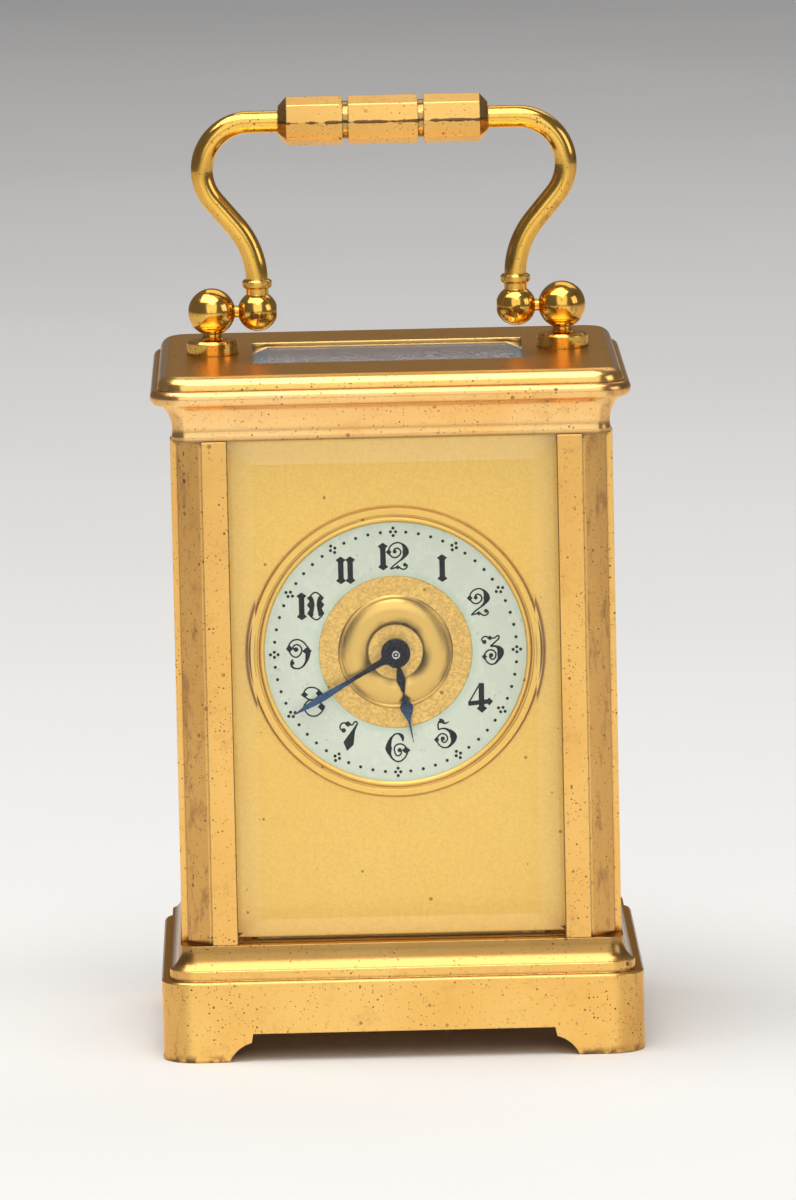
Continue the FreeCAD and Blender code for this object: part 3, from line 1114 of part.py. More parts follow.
def toothed(teeth, module, shift, low, high, bearing_of_tooth):
    """A spur gear with involute flanks, one of whose teeth points along a bearing."""
    pressure = math.radians(dim("pressure_angle"))
    pitch = module * teeth / 2
    base = pitch * math.cos(pressure)
    tip = pitch + dim("tooth_reach") * (1 + shift) * module
    root = pitch - (1.25 - shift) * module
    half = (math.pi / 2 + 2 * shift * math.tan(pressure) - dim("tooth_slack")) / teeth

    def half_angle(radius):
        angle = math.acos(min(1, base / radius))
        return half + math.tan(pressure) - pressure - math.tan(angle) + angle

    points = []
    flank = [root, tip] if teeth > 20 else [root, pitch, tip]
    for tooth in range(teeth):
        middle = math.radians(bearing_of_tooth) + 2 * math.pi * tooth / teeth
        sides = [(radius, middle - half_angle(radius)) for radius in flank]
        sides += [(radius, middle + half_angle(radius)) for radius in reversed(flank)]
        points += [(radius * math.cos(angle), radius * math.sin(angle)) for radius, angle in sides]
    return prism(points, low, high)


def wheel(teeth, module, low, high, bearing_of_tooth):
    """A gear wheel that is thinned by a pinion's shift and crossed out to spokes."""
    disc = toothed(int(teeth), module, -dim("tooth_shift"), low, high, bearing_of_tooth)
    root = module * teeth / 2 - (1.25 + dim("tooth_shift")) * module
    return crossed(disc, dim("wheel_hub"), root - dim("wheel_rim"), low, high)


def crossed(disc, hub, rim, low, high):
    """Cuts the spaces between the spokes out of a disc."""
    space = bar(rim, low, high).cut(bar(hub, low, high))
    for spoke in range(int(dim("spokes"))):
        corner = FreeCAD.Vector(0, -dim("spoke_width") / 2, low)
        arm = Part.makeBox(rim, dim("spoke_width"), high - low, corner)
        arm.rotate(FreeCAD.Vector(), FreeCAD.Vector(0, 0, 1), 45 + 360 * spoke / dim("spokes"))
        space = space.cut(arm)
    return disc.cut(space)


def pinion(leaves, module, low, high, bearing_of_gap):
    """A pinion with a gap between leaves along a bearing."""
    return toothed(int(leaves), module, dim("tooth_shift"), low, high, bearing_of_gap + 180 / leaves)


def in_movement(label, shape, spot):
    """Puts a shape on its arbor. Its local axis points forwards."""
    return shaped(label, shape, (spot[0], "0", spot[1]), FACING_FRONT)


def movement_plates():
    """Two plates, bored for the arbors and the movement pillars."""
    spots = [(THIRD, "Dim.pin_radius"), (CONTRATE, "Dim.pin_radius"), (BARREL, "Dim.barrel_pin")]
    corners = [(f"{side} * ({SPACER_X})", level) for side in (-1, 1) for level in (SPACER_LOW, SPACER_HIGH)]
    size = (PLATE_WIDTH, "Dim.plate_thickness", f"{PLATE_TOP} - ({FLOOR_BELOW})")
    stud = rod("Dim.pin_radius", f"{HOUR_PLANE} + Dim.motion_thickness + 0.4 - {FRONT_GAP}",
               (MINUTE[0], f"-{FRONT_GAP}", MINUTE[1]), FACING_FRONT)
    for label, y, center in (("front_movement_plate", f"-({FRONT_OUTSIDE})", "Dim.cannon_pipe"),
                             ("back_movement_plate", BACK_GAP, "Dim.center_arbor_radius")):
        plate = block((f"-{PLATE_WIDTH} / 2", y, FLOOR_BELOW), size)
        holes = [rod(f"{radius} + Dim.pivot_play", "Dim.plate_thickness", (x, y, z), ALONG_Y)
                 for (x, z), radius in spots + [(CENTER, center)]]
        holes += [rod("Dim.spacer_pin", "Dim.plate_thickness", (x, y, z), ALONG_Y) for x, z in corners]
        side = 1 if y == BACK_GAP else -1
        bottom = f"{PLATE_TOP} - Dim.small_screw_length"
        holes += [rod("Dim.small_screw", "Dim.small_screw_length", (x, at, bottom))
                  for x, at in PLATFORM_SCREWS if number(at) * side > 0]
        bored = cut(plate, *holes)
        keep(fuse(bored, stud) if y != BACK_GAP else bored, label)


def movement_pillars():
    """Four pillars between the plates, with nuts on their ends."""
    length = f"{FRONT_GAP} + {BACK_GAP}"
    end = "Dim.plate_thickness + Dim.spacer_nut_height"
    pillars = []
    nuts = []
    for side in (-1, 1):
        for level, seated in ((SPACER_LOW, True), (SPACER_HIGH, False)):
            x = f"{side} * ({SPACER_X})"
            stem = rod("Dim.spacer_pin", f"{length} + 2 * ({end})",
                       (x, f"-({FRONT_GAP} + {end})", level), ALONG_Y)
            body = fuse(rod("Dim.spacer_radius", length, (x, f"-{FRONT_GAP}", level), ALONG_Y), stem)
            if seated:
                screw = rod("Dim.screw_radius", f"{level} - ({FLOOR_BELOW})", (x, SEAT_Y, FLOOR_BELOW))
                foot = block((f"{x} - Dim.spacer_radius", f"{SEAT_Y} - Dim.spacer_radius", FLOOR_BELOW),
                             ("2 * Dim.spacer_radius", "2 * Dim.spacer_radius", "Dim.spacer_inset"))
                body = cut(fuse(body, foot), screw)
            pillars.append(body)
            for y in (f"-({FRONT_OUTSIDE} + Dim.spacer_nut_height)", f"{BACK_GAP} + Dim.plate_thickness"):
                nuts.append(cut(rod("Dim.spacer_nut", "Dim.spacer_nut_height", (x, y, level), ALONG_Y),
                                rod("Dim.spacer_pin", "Dim.spacer_nut_height", (x, y, level), ALONG_Y)))
    group("movement_pillars", pillars)
    group("pillar_nuts", nuts)


def barrel():
    """The toothed drum with its cap, the mainspring inside it and the arbor that winds it."""
    back = -number(BARREL_BACK)
    front = number(BARREL_FRONT)
    wall = dim("barrel_wall")
    cap = dim("barrel_cap_thickness")
    radius = number(DRUM_RADIUS)
    bore = dim("barrel_pin") + dim("pivot_play")
    flange = toothed(int(dim("barrel_teeth")), dim("barrel_module"), -dim("tooth_shift"),
                     back - dim("barrel_flange"), back, bearing(BARREL, CENTER))
    drum = joined([bar(radius, back, front), flange])
    drum = drum.cut(bar(radius - wall, back, front)).cut(bar(bore, back - dim("barrel_flange"), back))
    in_movement("mainspring_barrel", drum, BARREL)
    lid = bar(radius - wall, front - cap, front).cut(bar(bore, front - cap, front))
    in_movement("barrel_cap", lid, BARREL)

    inner = dim("barrel_arbor_radius") + number(SPRING_PITCH) / 2
    strip = spiral_strip(inner, number(SPRING_PITCH), int(dim("spring_turns")), dim("spring_strip"),
                         back + wall / 2, front - cap - wall / 2)
    in_movement("mainspring", strip, BARREL)

    ratchet_front = number(BACK_OUTSIDE) - dim("ratchet_gap")
    square = square_bar(dim("square_side"), -number(WINDING_REACH), ratchet_front)
    arbor = joined([
        bar(dim("barrel_arbor_radius"), back + wall / 4, front - cap - wall / 4),
        bar(dim("barrel_pin"), ratchet_front, number(FRONT_OUTSIDE)), square])
    in_movement("barrel_arbor", arbor, BARREL)


def spiral_strip(inner, pitch, turns, thickness, low, high):
    """A flat strip wound in half circles, each half a pitch wider than the one before."""
    def line(offset):
        edges = []
        for half in range(2 * turns):
            radius = inner + offset + pitch * half / 2 + pitch / 4
            shift = -pitch / 4 if half % 2 == 0 else pitch / 4
            sign = 1 if half % 2 == 0 else -1
            reach = sign * radius
            spots = [FreeCAD.Vector(shift + reach * math.cos(angle), reach * math.sin(angle), low)
                     for angle in (0, math.pi / 2, math.pi)]
            edges.append(Part.Arc(*spots).toShape())
        return edges

    inside = line(0)
    outside = line(thickness)
    starts = Part.makeLine(inside[0].firstVertex(True).Point, outside[0].firstVertex(True).Point)
    ends = Part.makeLine(inside[-1].lastVertex(True).Point, outside[-1].lastVertex(True).Point)
    wire = Part.Wire(Part.__sortEdges__(inside + outside + [starts, ends]))
    return Part.Face(wire).extrude(FreeCAD.Vector(0, 0, high - low))


def winding():
    """The ratchet wheel on the barrel arbor, with its click and click spring on the back plate."""
    front = number(BACK_OUTSIDE) - dim("ratchet_gap")
    back = front - dim("ratchet_thickness")
    tip = dim("ratchet_radius")
    root = tip - dim("ratchet_tooth")
    teeth = int(dim("ratchet_teeth"))
    points = []
    for tooth in range(teeth):
        angle = 2 * math.pi * tooth / teeth
        for radius in (root, tip):
            points.append((radius * math.cos(angle), radius * math.sin(angle)))
    disc = prism(points, back, front)
    in_movement("ratchet_wheel", disc.cut(square_bar(dim("square_side"), back, front)), BARREL)

    away = math.radians(bearing(CLICK, BARREL))
    reach = math.hypot(number(CLICK[0]) - number(BARREL[0]), number(CLICK[1]) - number(BARREL[1]))
    length = reach - tip - dim("click_clearance")
    hub = dim("click_hub")
    across = FreeCAD.Vector(-math.sin(away), math.cos(away), 0)
    along = FreeCAD.Vector(math.cos(away), math.sin(away), 0)
    half_nose = dim("click_nose") / 2
    corners = [across * -hub, along * length - across * half_nose,
               along * length + across * half_nose, across * hub]
    nose = prism([(corner.x, corner.y) for corner in corners], back, front)
    bore = bar(dim("click_screw") + dim("pivot_play"), back, front)
    in_movement("click", joined([bar(hub, back, front), nose]).cut(bore), CLICK)

    spring = dim("click_spring_thickness")
    beside = across * (hub + dim("click_spring_gap"))
    spots = [beside + along * length * 0.7, beside - along * hub * 2.5]
    ends = [spot + across * spring for spot in reversed(spots)]
    blade = prism([(spot.x, spot.y) for spot in spots + ends], back, front)
    foot = bar(hub, back, number(BACK_OUTSIDE))
    foot.translate(FreeCAD.Vector(spots[1].x, spots[1].y, 0) + across * (spring / 2))
    pin = bar(dim("click_screw"), back - dim("ratchet_gap"), number(BACK_OUTSIDE))
    head = bar(hub * 0.8, back - 3 * dim("ratchet_gap"), back - dim("ratchet_gap"))
    in_movement("click_spring", Part.makeCompound([joined([blade, foot]), joined([pin, head])]), CLICK)


def train():
    """Center, third and contrate wheels on their arbors, each pinion in mesh with the wheel before it."""
    half = dim("pinion_length") / 2
    thick = dim("wheel_thickness")
    hub = dim("wheel_hub")

    low = number(CENTER_WHEEL_PLANE)
    flange = -number(BARREL_BACK) - dim("barrel_flange") / 2
    parts = [
        wheel(dim("center_teeth"), dim("center_module"), low, low + thick, bearing(CENTER, THIRD)),
        bar(dim("center_pipe"), flange + half, low + thick + half),
        pinion(dim("center_leaves"), dim("barrel_module"), flange - half * 0.8, flange + half,
               bearing(CENTER, BARREL))]
    bore = bar(dim("center_arbor_radius") + dim("pivot_play"), flange - 2 * half, low + 4 * half)
    in_movement("center_wheel", joined(parts).cut(bore), CENTER)

    middle = low + thick / 2
    low = number(THIRD_WHEEL_PLANE)
    arbor = [bar(dim("arbor_radius"), number(BACK_INSIDE), number(FRONT_INSIDE)),
             bar(dim("pin_radius"), number(BACK_OUTSIDE), number(FRONT_OUTSIDE))]
    in_movement("third_wheel", joined(arbor + [
        wheel(dim("third_teeth"), dim("third_module"), low, low + thick, bearing(THIRD, CONTRATE)),
        pinion(dim("third_leaves"), dim("center_module"), middle - half, middle + half,
               bearing(THIRD, CENTER))]), THIRD)

    middle = low + thick / 2
    low = number(CONTRATE_PLANE)
    rim = dim("contrate_radius") + dim("contrate_rim") / 2
    disc = crossed(bar(rim, low, low + thick), hub, rim - 1.5 * dim("contrate_rim"), low, low + thick)
    in_movement("contrate_wheel", joined(arbor + [
        disc, *contrate_teeth(low),
        pinion(dim("contrate_leaves"), dim("third_module"), middle - half, middle + half,
               bearing(CONTRATE, THIRD))]), CONTRATE)


def contrate_teeth(root):
    """Teeth that stand backwards on the rim of the contrate wheel, one of them at the top."""
    count = int(dim("contrate_teeth"))
    pitch = 2 * math.pi * dim("contrate_radius") / count
    tip = root - dim("contrate_tooth")
    outer = dim("contrate_radius") + dim("contrate_rim") / 2
    section = [(-0.24 * pitch, root), (0.24 * pitch, root), (0.1 * pitch, tip), (-0.1 * pitch, tip)]
    wire = Part.makePolygon([FreeCAD.Vector(x, outer, level) for x, level in section + section[:1]])
    tooth = Part.Face(wire).extrude(FreeCAD.Vector(0, -dim("contrate_rim"), 0))
    teeth = []
    for index in range(count):
        copy = tooth.copy()
        copy.rotate(FreeCAD.Vector(), FreeCAD.Vector(0, 0, 1), 360 * index / count)
        teeth.append(copy)
    return teeth


def motion_work():
    """Center arbor, cannon pinion, minute wheel and hour wheel between the front plate and the dial."""
    square = dim("square_side") * 0.7
    nut_front = number(MINUTE_HAND_PLANE) + dim("hand_thickness") + dim("hand_nut_height")
    back = number(BACK_OUTSIDE)
    arbor = joined([bar(dim("center_arbor_radius"), back, nut_front + 0.2),
                    square_bar(square, -number(SETTING_REACH), back)])
    in_movement("center_arbor", arbor, CENTER)

    module = dim("cannon_module")
    low = number(CANNON_PLANE)
    high = low + dim("cannon_length")
    bore = dim("center_arbor_radius")
    cannon = joined([pinion(dim("cannon_leaves"), module, low, high, bearing(CENTER, MINUTE)),
                     bar(dim("cannon_pipe"), low, number(MINUTE_HAND_PLANE) + dim("hand_thickness"))])
    in_movement("cannon_pinion", cannon.cut(bar(bore, low, nut_front)), CENTER)

    thick = dim("motion_thickness")
    plane = (low + high - thick) / 2
    hour_low = number(HOUR_PLANE)
    hour_module = number(HOUR_MODULE)
    minute = joined([
        toothed(int(dim("minute_teeth")), module, -dim("tooth_shift"), plane, plane + thick,
                bearing(MINUTE, CENTER)),
        pinion(dim("minute_leaves"), hour_module, plane + thick, hour_low + thick, bearing(MINUTE, CENTER))])
    hole_through = bar(dim("pin_radius") + dim("pivot_play"), plane, hour_low + thick)
    in_movement("minute_wheel", minute.cut(hole_through), MINUTE)

    hour = joined([
        toothed(int(dim("hour_teeth")), hour_module, -dim("tooth_shift"), hour_low, hour_low + thick,
                bearing(CENTER, MINUTE)),
        bar(dim("hour_pipe"), hour_low, number(HOUR_HAND_PLANE) + dim("hand_thickness"))])
    inside = bar(dim("cannon_pipe") + dim("pipe_play"), hour_low, nut_front)
    in_movement("hour_wheel", hour.cut(inside), CENTER)


# Platform escapement, in the plane of the plan

ESCAPE_PITCH = "Dim.contrate_radius * Dim.escape_leaves / Dim.contrate_teeth"
ESCAPE_MODULE = "2 * Dim.contrate_radius / Dim.contrate_teeth"
ESCAPE_X = CONTRATE[0]
ESCAPE_Y = f"-({CONTRATE_PLANE} - Dim.contrate_tooth) - 0.51 * ({ESCAPE_MODULE}) + {ESCAPE_PITCH}"
PALLET_Y = f"{ESCAPE_Y} - Dim.pallet_distance"
BALANCE_Y = f"{PALLET_Y} - Dim.balance_distance"
PLATFORM_TOP = f"{PLATE_TOP} + Dim.platform_thickness"
BRIDGE_FOOT_Y = f"{ESCAPE_Y} + Dim.escape_radius + Dim.bridge_width / 2 + Dim.bridge_gap"
COCK_REACH = "Dim.balance_radius + Dim.bridge_width / 2 + 2 * Dim.balance_screw"


def on_platform(label, shape, y, turn=UPRIGHT):
    """Puts a shape upright on the platform, with its local axis at one of the small arbors."""
    return shaped(label, shape, (ESCAPE_X, y, PLATFORM_TOP), turn)


def platform_plate():
    """The platform on top of the plates, with a bracket below it for the escape arbor."""
    depth = f"{FRONT_OUTSIDE} - ({BACK_OUTSIDE})"
    plate = block(("-Dim.platform_width / 2", f"-({FRONT_OUTSIDE})", PLATE_TOP),
                  ("Dim.platform_width", depth, "Dim.platform_thickness"))
    width = "Dim.potence_width"
    left = f"{ESCAPE_X} - {width} / 2"
    low = f"{PLATE_TOP} - Dim.potence_drop"
    post_front = f"{ESCAPE_Y} + Dim.potence_gap"
    reach = "Dim.potence_end + Dim.potence_gap + Dim.potence_wall"
    arm = block((left, f"{ESCAPE_Y} - Dim.potence_end", low), (width, reach, "Dim.bridge_thickness"))
    post = block((left, post_front, low), (width, "Dim.potence_wall", "Dim.potence_drop"))
    holes = [rod("Dim.staff_pin + Dim.pivot_play", "Dim.bridge_thickness", (ESCAPE_X, ESCAPE_Y, low)),
             rod("2 * Dim.staff_radius", "Dim.platform_thickness", (ESCAPE_X, ESCAPE_Y, PLATE_TOP))]
    for y in (PALLET_Y, BALANCE_Y):
        spot = (ESCAPE_X, y, PLATE_TOP)
        holes.append(rod("Dim.staff_pin + Dim.pivot_play", "Dim.platform_thickness", spot))
    for x, y in PLATFORM_SCREWS + COCK_SCREWS:
        holes.append(rod("Dim.small_screw", "Dim.platform_thickness", (x, y, PLATE_TOP)))
    keep(cut(fuse(plate, arm, post), *holes), "platform_plate")


PLATE_MIDDLES = (f"-({FRONT_GAP} + Dim.plate_thickness / 2)", f"{BACK_GAP} + Dim.plate_thickness / 2")
PLATFORM_SCREWS = [(f"{side} * (Dim.platform_width / 2 - Dim.spacer_inset)", y)
                   for side in (-1, 1) for y in PLATE_MIDDLES]
COCK_SCREWS = [(ESCAPE_X, BRIDGE_FOOT_Y), (f"{ESCAPE_X} - ({COCK_REACH})", BALANCE_Y)]


def platform_screws():
    """Screws of the platform, and those of the bridge and the cock that stand on it."""
    seats = [(x, y, PLATFORM_TOP) for x, y in PLATFORM_SCREWS]
    seats += [(x, y, f"{PLATFORM_TOP} + {rise} + Dim.bridge_thickness")
              for (x, y), rise in zip(COCK_SCREWS, ("Dim.bridge_height", "Dim.cock_height"))]
    group("platform_screws", [
        fuse(rod("Dim.small_screw_head", "Dim.small_screw_height", (x, y, z)),
             rod("Dim.small_screw", "Dim.small_screw_length", (x, y, f"{z} - Dim.small_screw_length")))
        for x, y, z in seats])


def escape_wheel():
    """A wheel with hooked teeth on an upright arbor, whose pinion is driven by the contrate wheel."""
    tip = dim("escape_radius")
    teeth = int(dim("escape_teeth"))
    low = dim("escape_plane")
    high = low + dim("escape_thickness")
    points = []
    for tooth in range(teeth):
        angle = 2 * math.pi * tooth / teeth
        step = 2 * math.pi / teeth
        for radius, turn in ((0.68, 0), (1, 0.28), (1, 0.36), (0.68, 0.3)):
            spot = angle + turn * step
            points.append((radius * tip * math.cos(spot), radius * tip * math.sin(spot)))
    disc = crossed(prism(points, low, high), 0.3 * tip, 0.55 * tip, low, high)
    bottom = -dim("platform_thickness") - dim("potence_drop")
    mesh = number(CONTRATE[1]) + dim("contrate_radius") - number(PLATFORM_TOP)
    shoulder = bottom + dim("bridge_thickness") + dim("shoulder_play")
    arbor = joined([
        bar(dim("staff_pin"), bottom, dim("bridge_height") + dim("bridge_thickness")),
        bar(dim("staff_radius"), shoulder, dim("bridge_height") - dim("shoulder_play")),
        pinion(dim("escape_leaves"), number(ESCAPE_MODULE), mesh - 1.1, mesh + 1.1, -90), disc])
    on_platform("escape_wheel", arbor, ESCAPE_Y)


def pallet_lever():
    """The anchor that rocks over the escape wheel, with its fork towards the balance."""
    low = dim("escape_plane")
    high = low + dim("lever_thickness")
    reach = dim("escape_radius") + dim("pallet_clearance")
    apart = dim("pallet_distance")
    fork = dim("balance_distance")
    spread = math.radians(dim("pallet_spread"))
    parts = [bar(dim("staff_pin"), -dim("platform_thickness"), dim("bridge_height") + dim("bridge_thickness")),
             bar(dim("staff_radius"), dim("shoulder_play"), dim("bridge_height") - dim("shoulder_play")),
             bar(1.1, low, high)]
    for side in (-1, 1):
        stone_x = (reach + 0.35) * math.sin(spread) * side
        stone_y = apart - (reach + 0.35) * math.cos(spread)
        arm = [(0.35 * -side, -0.4), (stone_x + 0.45 * side, stone_y - 0.5),
               (stone_x + 0.45 * side, stone_y + 0.35), (stone_x - 0.05 * side, stone_y + 0.1),
               (0.5 * -side, 0.5)]
        parts.append(prism(arm, low, high))
    stem = [(-0.35, 0), (0.35, 0), (0.3, -fork + 2.2), (-0.3, -fork + 2.2)]
    parts.append(prism(stem, low, high))
    for side in (-1, 1):
        prong = [(0.1 * side, -fork + 2.6), (0.75 * side, -fork + 2.0), (0.75 * side, -fork + 1.1),
                 (0.35 * side, -fork + 1.1), (0.35 * side, -fork + 1.9), (-0.1 * side, -fork + 2.1)]
        parts.append(prism(prong, low, high))
    on_platform("pallet_lever", joined(parts), PALLET_Y)


def balance():
    """The balance wheel with its roller and impulse pin, its hairspring, cock and regulator index."""
    low = dim("balance_plane")
    high = low + dim("balance_thickness")
    rim = dim("balance_radius")
    inner = rim - dim("balance_rim")
    cock = dim("cock_height")
    above = dim("escape_plane") + dim("lever_thickness") + dim("impulse_gap")
    ring = bar(rim, low, high).cut(bar(inner, low, high))
    spoke = Part.makeBox(2 * inner + 0.4, dim("spoke_width"), dim("balance_thickness") / 2,
                         FreeCAD.Vector(-inner - 0.2, -dim("spoke_width") / 2, low))
    pin = bar(dim("impulse_pin"), above, low)
    pin.translate(FreeCAD.Vector(0, dim("impulse_offset"), 0))
    wheel_parts = [
        ring, spoke, bar(dim("balance_hub"), low, high), pin,
        bar(dim("roller_radius"), low - dim("roller_thickness"), low),
        bar(dim("staff_radius"), dim("shoulder_play"), cock - dim("shoulder_play")),
        bar(dim("staff_pin"), -dim("platform_thickness"), cock + dim("bridge_thickness"))]
    screws = []
    for index in range(12):
        screw = Part.makeCylinder(0.4, dim("balance_screw") + 0.1,
                                  FreeCAD.Vector(rim - 0.1, 0, (low + high) / 2), FreeCAD.Vector(1, 0, 0))
        screw.rotate(FreeCAD.Vector(), FreeCAD.Vector(0, 0, 1), 15 + 30 * index)
        screws.append(screw)
    on_platform("balance_wheel", joined(wheel_parts + screws), BALANCE_Y)


def cock_shape(foot, height, bores):
    """A foot on the platform and an arm over the pivots, along the local Y axis."""
    width = dim("bridge_width")
    thick = dim("bridge_thickness")
    end = max(bores, key=lambda bore: abs(bore - foot))
    direction = math.copysign(1, end - foot)
    start = foot - direction * width / 2
    post = Part.makeBox(width, width, height + thick, FreeCAD.Vector(-width / 2, foot - width / 2, 0))
    arm = Part.makeBox(width, abs(end - start), thick, FreeCAD.Vector(-width / 2, min(start, end), height))
    tip = bar(width / 2, height, height + thick)
    tip.translate(FreeCAD.Vector(0, end, 0))
    shape = joined([post, arm, tip])
    for bore in bores:
        pivot = bar(dim("staff_pin") + dim("pivot_play"), height, height + thick)
        pivot.translate(FreeCAD.Vector(0, bore, 0))
        shape = shape.cut(pivot)
    screw = bar(dim("small_screw"), 0, height + thick)
    screw.translate(FreeCAD.Vector(0, foot, 0))
    return shape.cut(screw)


def bridges():
    """The bridge over escape wheel and pallets, the balance cock, and the index and spring that it carries."""
    here = number(ESCAPE_Y)
    on_platform("escapement_bridge", cock_shape(number(BRIDGE_FOOT_Y) - here, dim("bridge_height"),
                                                [0, number(PALLET_Y) - here]), ESCAPE_Y)
    cock = cock_shape(-number(COCK_REACH), dim("cock_height"), [0])
    on_platform("balance_cock", cock, BALANCE_Y, TO_THE_LEFT)

    top = dim("cock_height") + dim("bridge_thickness")
    width = dim("spoke_width")
    upper = top + dim("index_thickness")
    length = dim("index_length")
    pointer = prism([(-0.4, -0.5), (0.4, -0.5), (0.15, length), (-0.15, length)], top, upper)
    index = joined([bar(width, top, upper), pointer])
    index = index.cut(bar(dim("staff_pin") + 2 * dim("pivot_play"), top, upper))
    on_platform("regulator_index", index, BALANCE_Y)


def hairspring():
    """One unbroken wire, wound in half circles and led to a stud under the balance cock."""
    pitch = dim("hairspring_pitch")
    wire_radius = dim("hairspring_wire")
    level = dim("hairspring_plane")
    edges = []
    spots = []
    for half in range(2 * int(dim("hairspring_turns")) + 1):
        radius = dim("hairspring_start") + pitch * half / 2 + pitch / 4
        sign = 1 if half % 2 == 0 else -1
        shift = -sign * pitch / 4
        reach = sign * radius
        ring = [FreeCAD.Vector(reach * math.sin(angle), shift - reach * math.cos(angle), level)
                for angle in (0, math.pi / 2, math.pi)]
        edges.append(Part.Arc(*ring).toShape())
        steps = 24
        turns = [math.pi * step / steps for step in range(steps + 1)]
        spots.append([(reach * math.sin(turn), shift - reach * math.cos(turn)) for turn in turns])
    gap = min(math.dist(a, b) for index, arc in enumerate(spots) for other in spots[index + 2:]
              for a in arc for b in other) - 2 * wire_radius
    print(f"hairspring: least gap to itself {gap:.2f} mm")
    spine = Part.Wire(edges)
    start = edges[0].firstVertex(True).Point
    section = Part.Wire(Part.makeCircle(wire_radius, start, edges[0].tangentAt(edges[0].FirstParameter)))
    coil = spine.makePipeShell([section], True, False)
    end = edges[-1].lastVertex(True).Point
    stud = Part.makeCylinder(2.5 * wire_radius, dim("cock_height") - level + 2 * wire_radius,
                             FreeCAD.Vector(end.x, end.y, level - 2 * wire_radius))
    on_platform("hairspring", coil.fuse(stud), BALANCE_Y, TO_THE_LEFT)


# The whole clock

base_frame()
base_deck()
for label, side, end, slotted in (("front_left_pillar", -1, -1, True), ("front_right_pillar", 1, -1, True),
                                  ("rear_left_pillar", -1, 1, False), ("rear_right_pillar", 1, 1, False)):
    pillar(label, side, end, slotted)
pillar_screws()
base_screws()
case_glasses()
cornice_frame()
top_plate()
top_glass()
for label, side in (("left", -1), ("right", 1)):
    handle_post(f"{label}_handle_post", side)
    handle_arm(f"{label}_handle_arm", side)
handle_post_nuts()
handle_grip()
rear_door()
dial_mask()
dial()
hands()
movement_plates()
movement_pillars()
barrel()
winding()
train()
motion_work()
platform_plate()
platform_screws()
escape_wheel()
pallet_lever()
balance()
bridges()
hairspring()
doc.recompute()

for thing in doc.Objects:
    if "Invalid" in thing.State or "Error" in thing.State:
        raise ValueError(f"{thing.Label} failed: {thing.State}")
for piece in pieces:
    if piece.Shape.isNull() or not piece.Shape.isValid():
        raise ValueError(f"{piece.Label} has no valid shape")

os.makedirs("parts", exist_ok=True)
for piece in pieces:
    piece.Shape.exportStep(f"parts/{piece.Label}.step")
print(f"{len(pieces)} pieces")
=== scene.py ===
# %% [markdown]
# # Dressing a brass carriage clock
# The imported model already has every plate, pillar, wheel and glass of the clock in its true size and
# place. This lesson gives those parts their finishes, adds the painted dial and the blued hands, and then
# puts the clock on a pale floor under soft light. All lengths are in metres, and the clock's front looks
# along -Y.

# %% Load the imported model
import math

import bpy
from mathutils import Matrix, Vector


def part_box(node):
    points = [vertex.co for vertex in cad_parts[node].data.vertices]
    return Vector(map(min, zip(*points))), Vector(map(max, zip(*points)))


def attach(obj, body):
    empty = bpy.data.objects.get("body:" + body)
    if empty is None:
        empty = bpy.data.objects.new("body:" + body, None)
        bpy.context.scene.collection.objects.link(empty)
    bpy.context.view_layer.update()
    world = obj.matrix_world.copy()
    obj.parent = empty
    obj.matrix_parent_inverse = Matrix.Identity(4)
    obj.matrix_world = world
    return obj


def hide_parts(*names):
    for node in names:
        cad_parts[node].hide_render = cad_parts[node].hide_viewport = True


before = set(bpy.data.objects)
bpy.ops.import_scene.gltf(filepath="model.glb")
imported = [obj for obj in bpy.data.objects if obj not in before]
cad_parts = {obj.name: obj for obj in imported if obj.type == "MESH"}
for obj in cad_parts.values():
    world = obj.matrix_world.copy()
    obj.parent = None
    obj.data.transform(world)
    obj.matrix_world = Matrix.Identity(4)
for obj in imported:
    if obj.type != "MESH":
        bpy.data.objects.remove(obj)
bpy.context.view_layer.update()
MM = 0.001

# %% [markdown]
# ## The camera
# The clock was seen from some way off through a long lens, a little from above, so its upright edges stay
# nearly parallel. A long lens could be imitated with a flat, orthographic camera, but the cornice shows a
# slight taper, so this is a real perspective camera, 1.6 m away, leaning down by 8 degrees.

# %% Place the camera
CAMERA_PLACE = (-0.0168, -1.635, 0.3011)
PITCH = math.radians(90 - 7.985)
YAW = math.radians(-0.618)
ROLL = math.radians(-1.22)
# The film and the lens are measured in millimetres.
FILM_HEIGHT = 36
FOCAL_LENGTH = 294.8
lens = bpy.data.cameras.new("camera")
lens.sensor_fit = "VERTICAL"
lens.sensor_height = FILM_HEIGHT
lens.lens = FOCAL_LENGTH
camera = bpy.data.objects.new("camera", lens)
bpy.context.collection.objects.link(camera)
turn = Matrix.Rotation(YAW, 4, "Z") @ Matrix.Rotation(PITCH, 4, "X") @ Matrix.Rotation(ROLL, 4, "Z")
camera.matrix_world = Matrix.Translation(CAMERA_PLACE) @ turn
bpy.context.scene.camera = camera
bpy.context.scene.view_settings.view_transform = "Standard"
print("camera distance:", round(camera.location.length, 3))

# %% [markdown]
# ## Small tools for finishes
# A finish is a shader whose colour, roughness and relief come from patterns in the clock's own space.
# Writing every node out would fill pages, so a few helpers add a node, feed its inputs and do arithmetic.


# %% Helpers for nodes
def feed(tree, node, inputs):
    """Sets inputs of a node, each from a plain value or from the output of another node."""
    for name, value in inputs.items():
        if isinstance(value, bpy.types.NodeSocket):
            tree.links.new(value, node.inputs[name])
        else:
            node.inputs[name].default_value = value


def add(tree, kind, inputs=None, **settings):
    """Adds one node with its settings and inputs."""
    made = tree.nodes.new("ShaderNode" + kind)
    for name, value in settings.items():
        setattr(made, name, value)
    feed(tree, made, inputs or {})
    return made


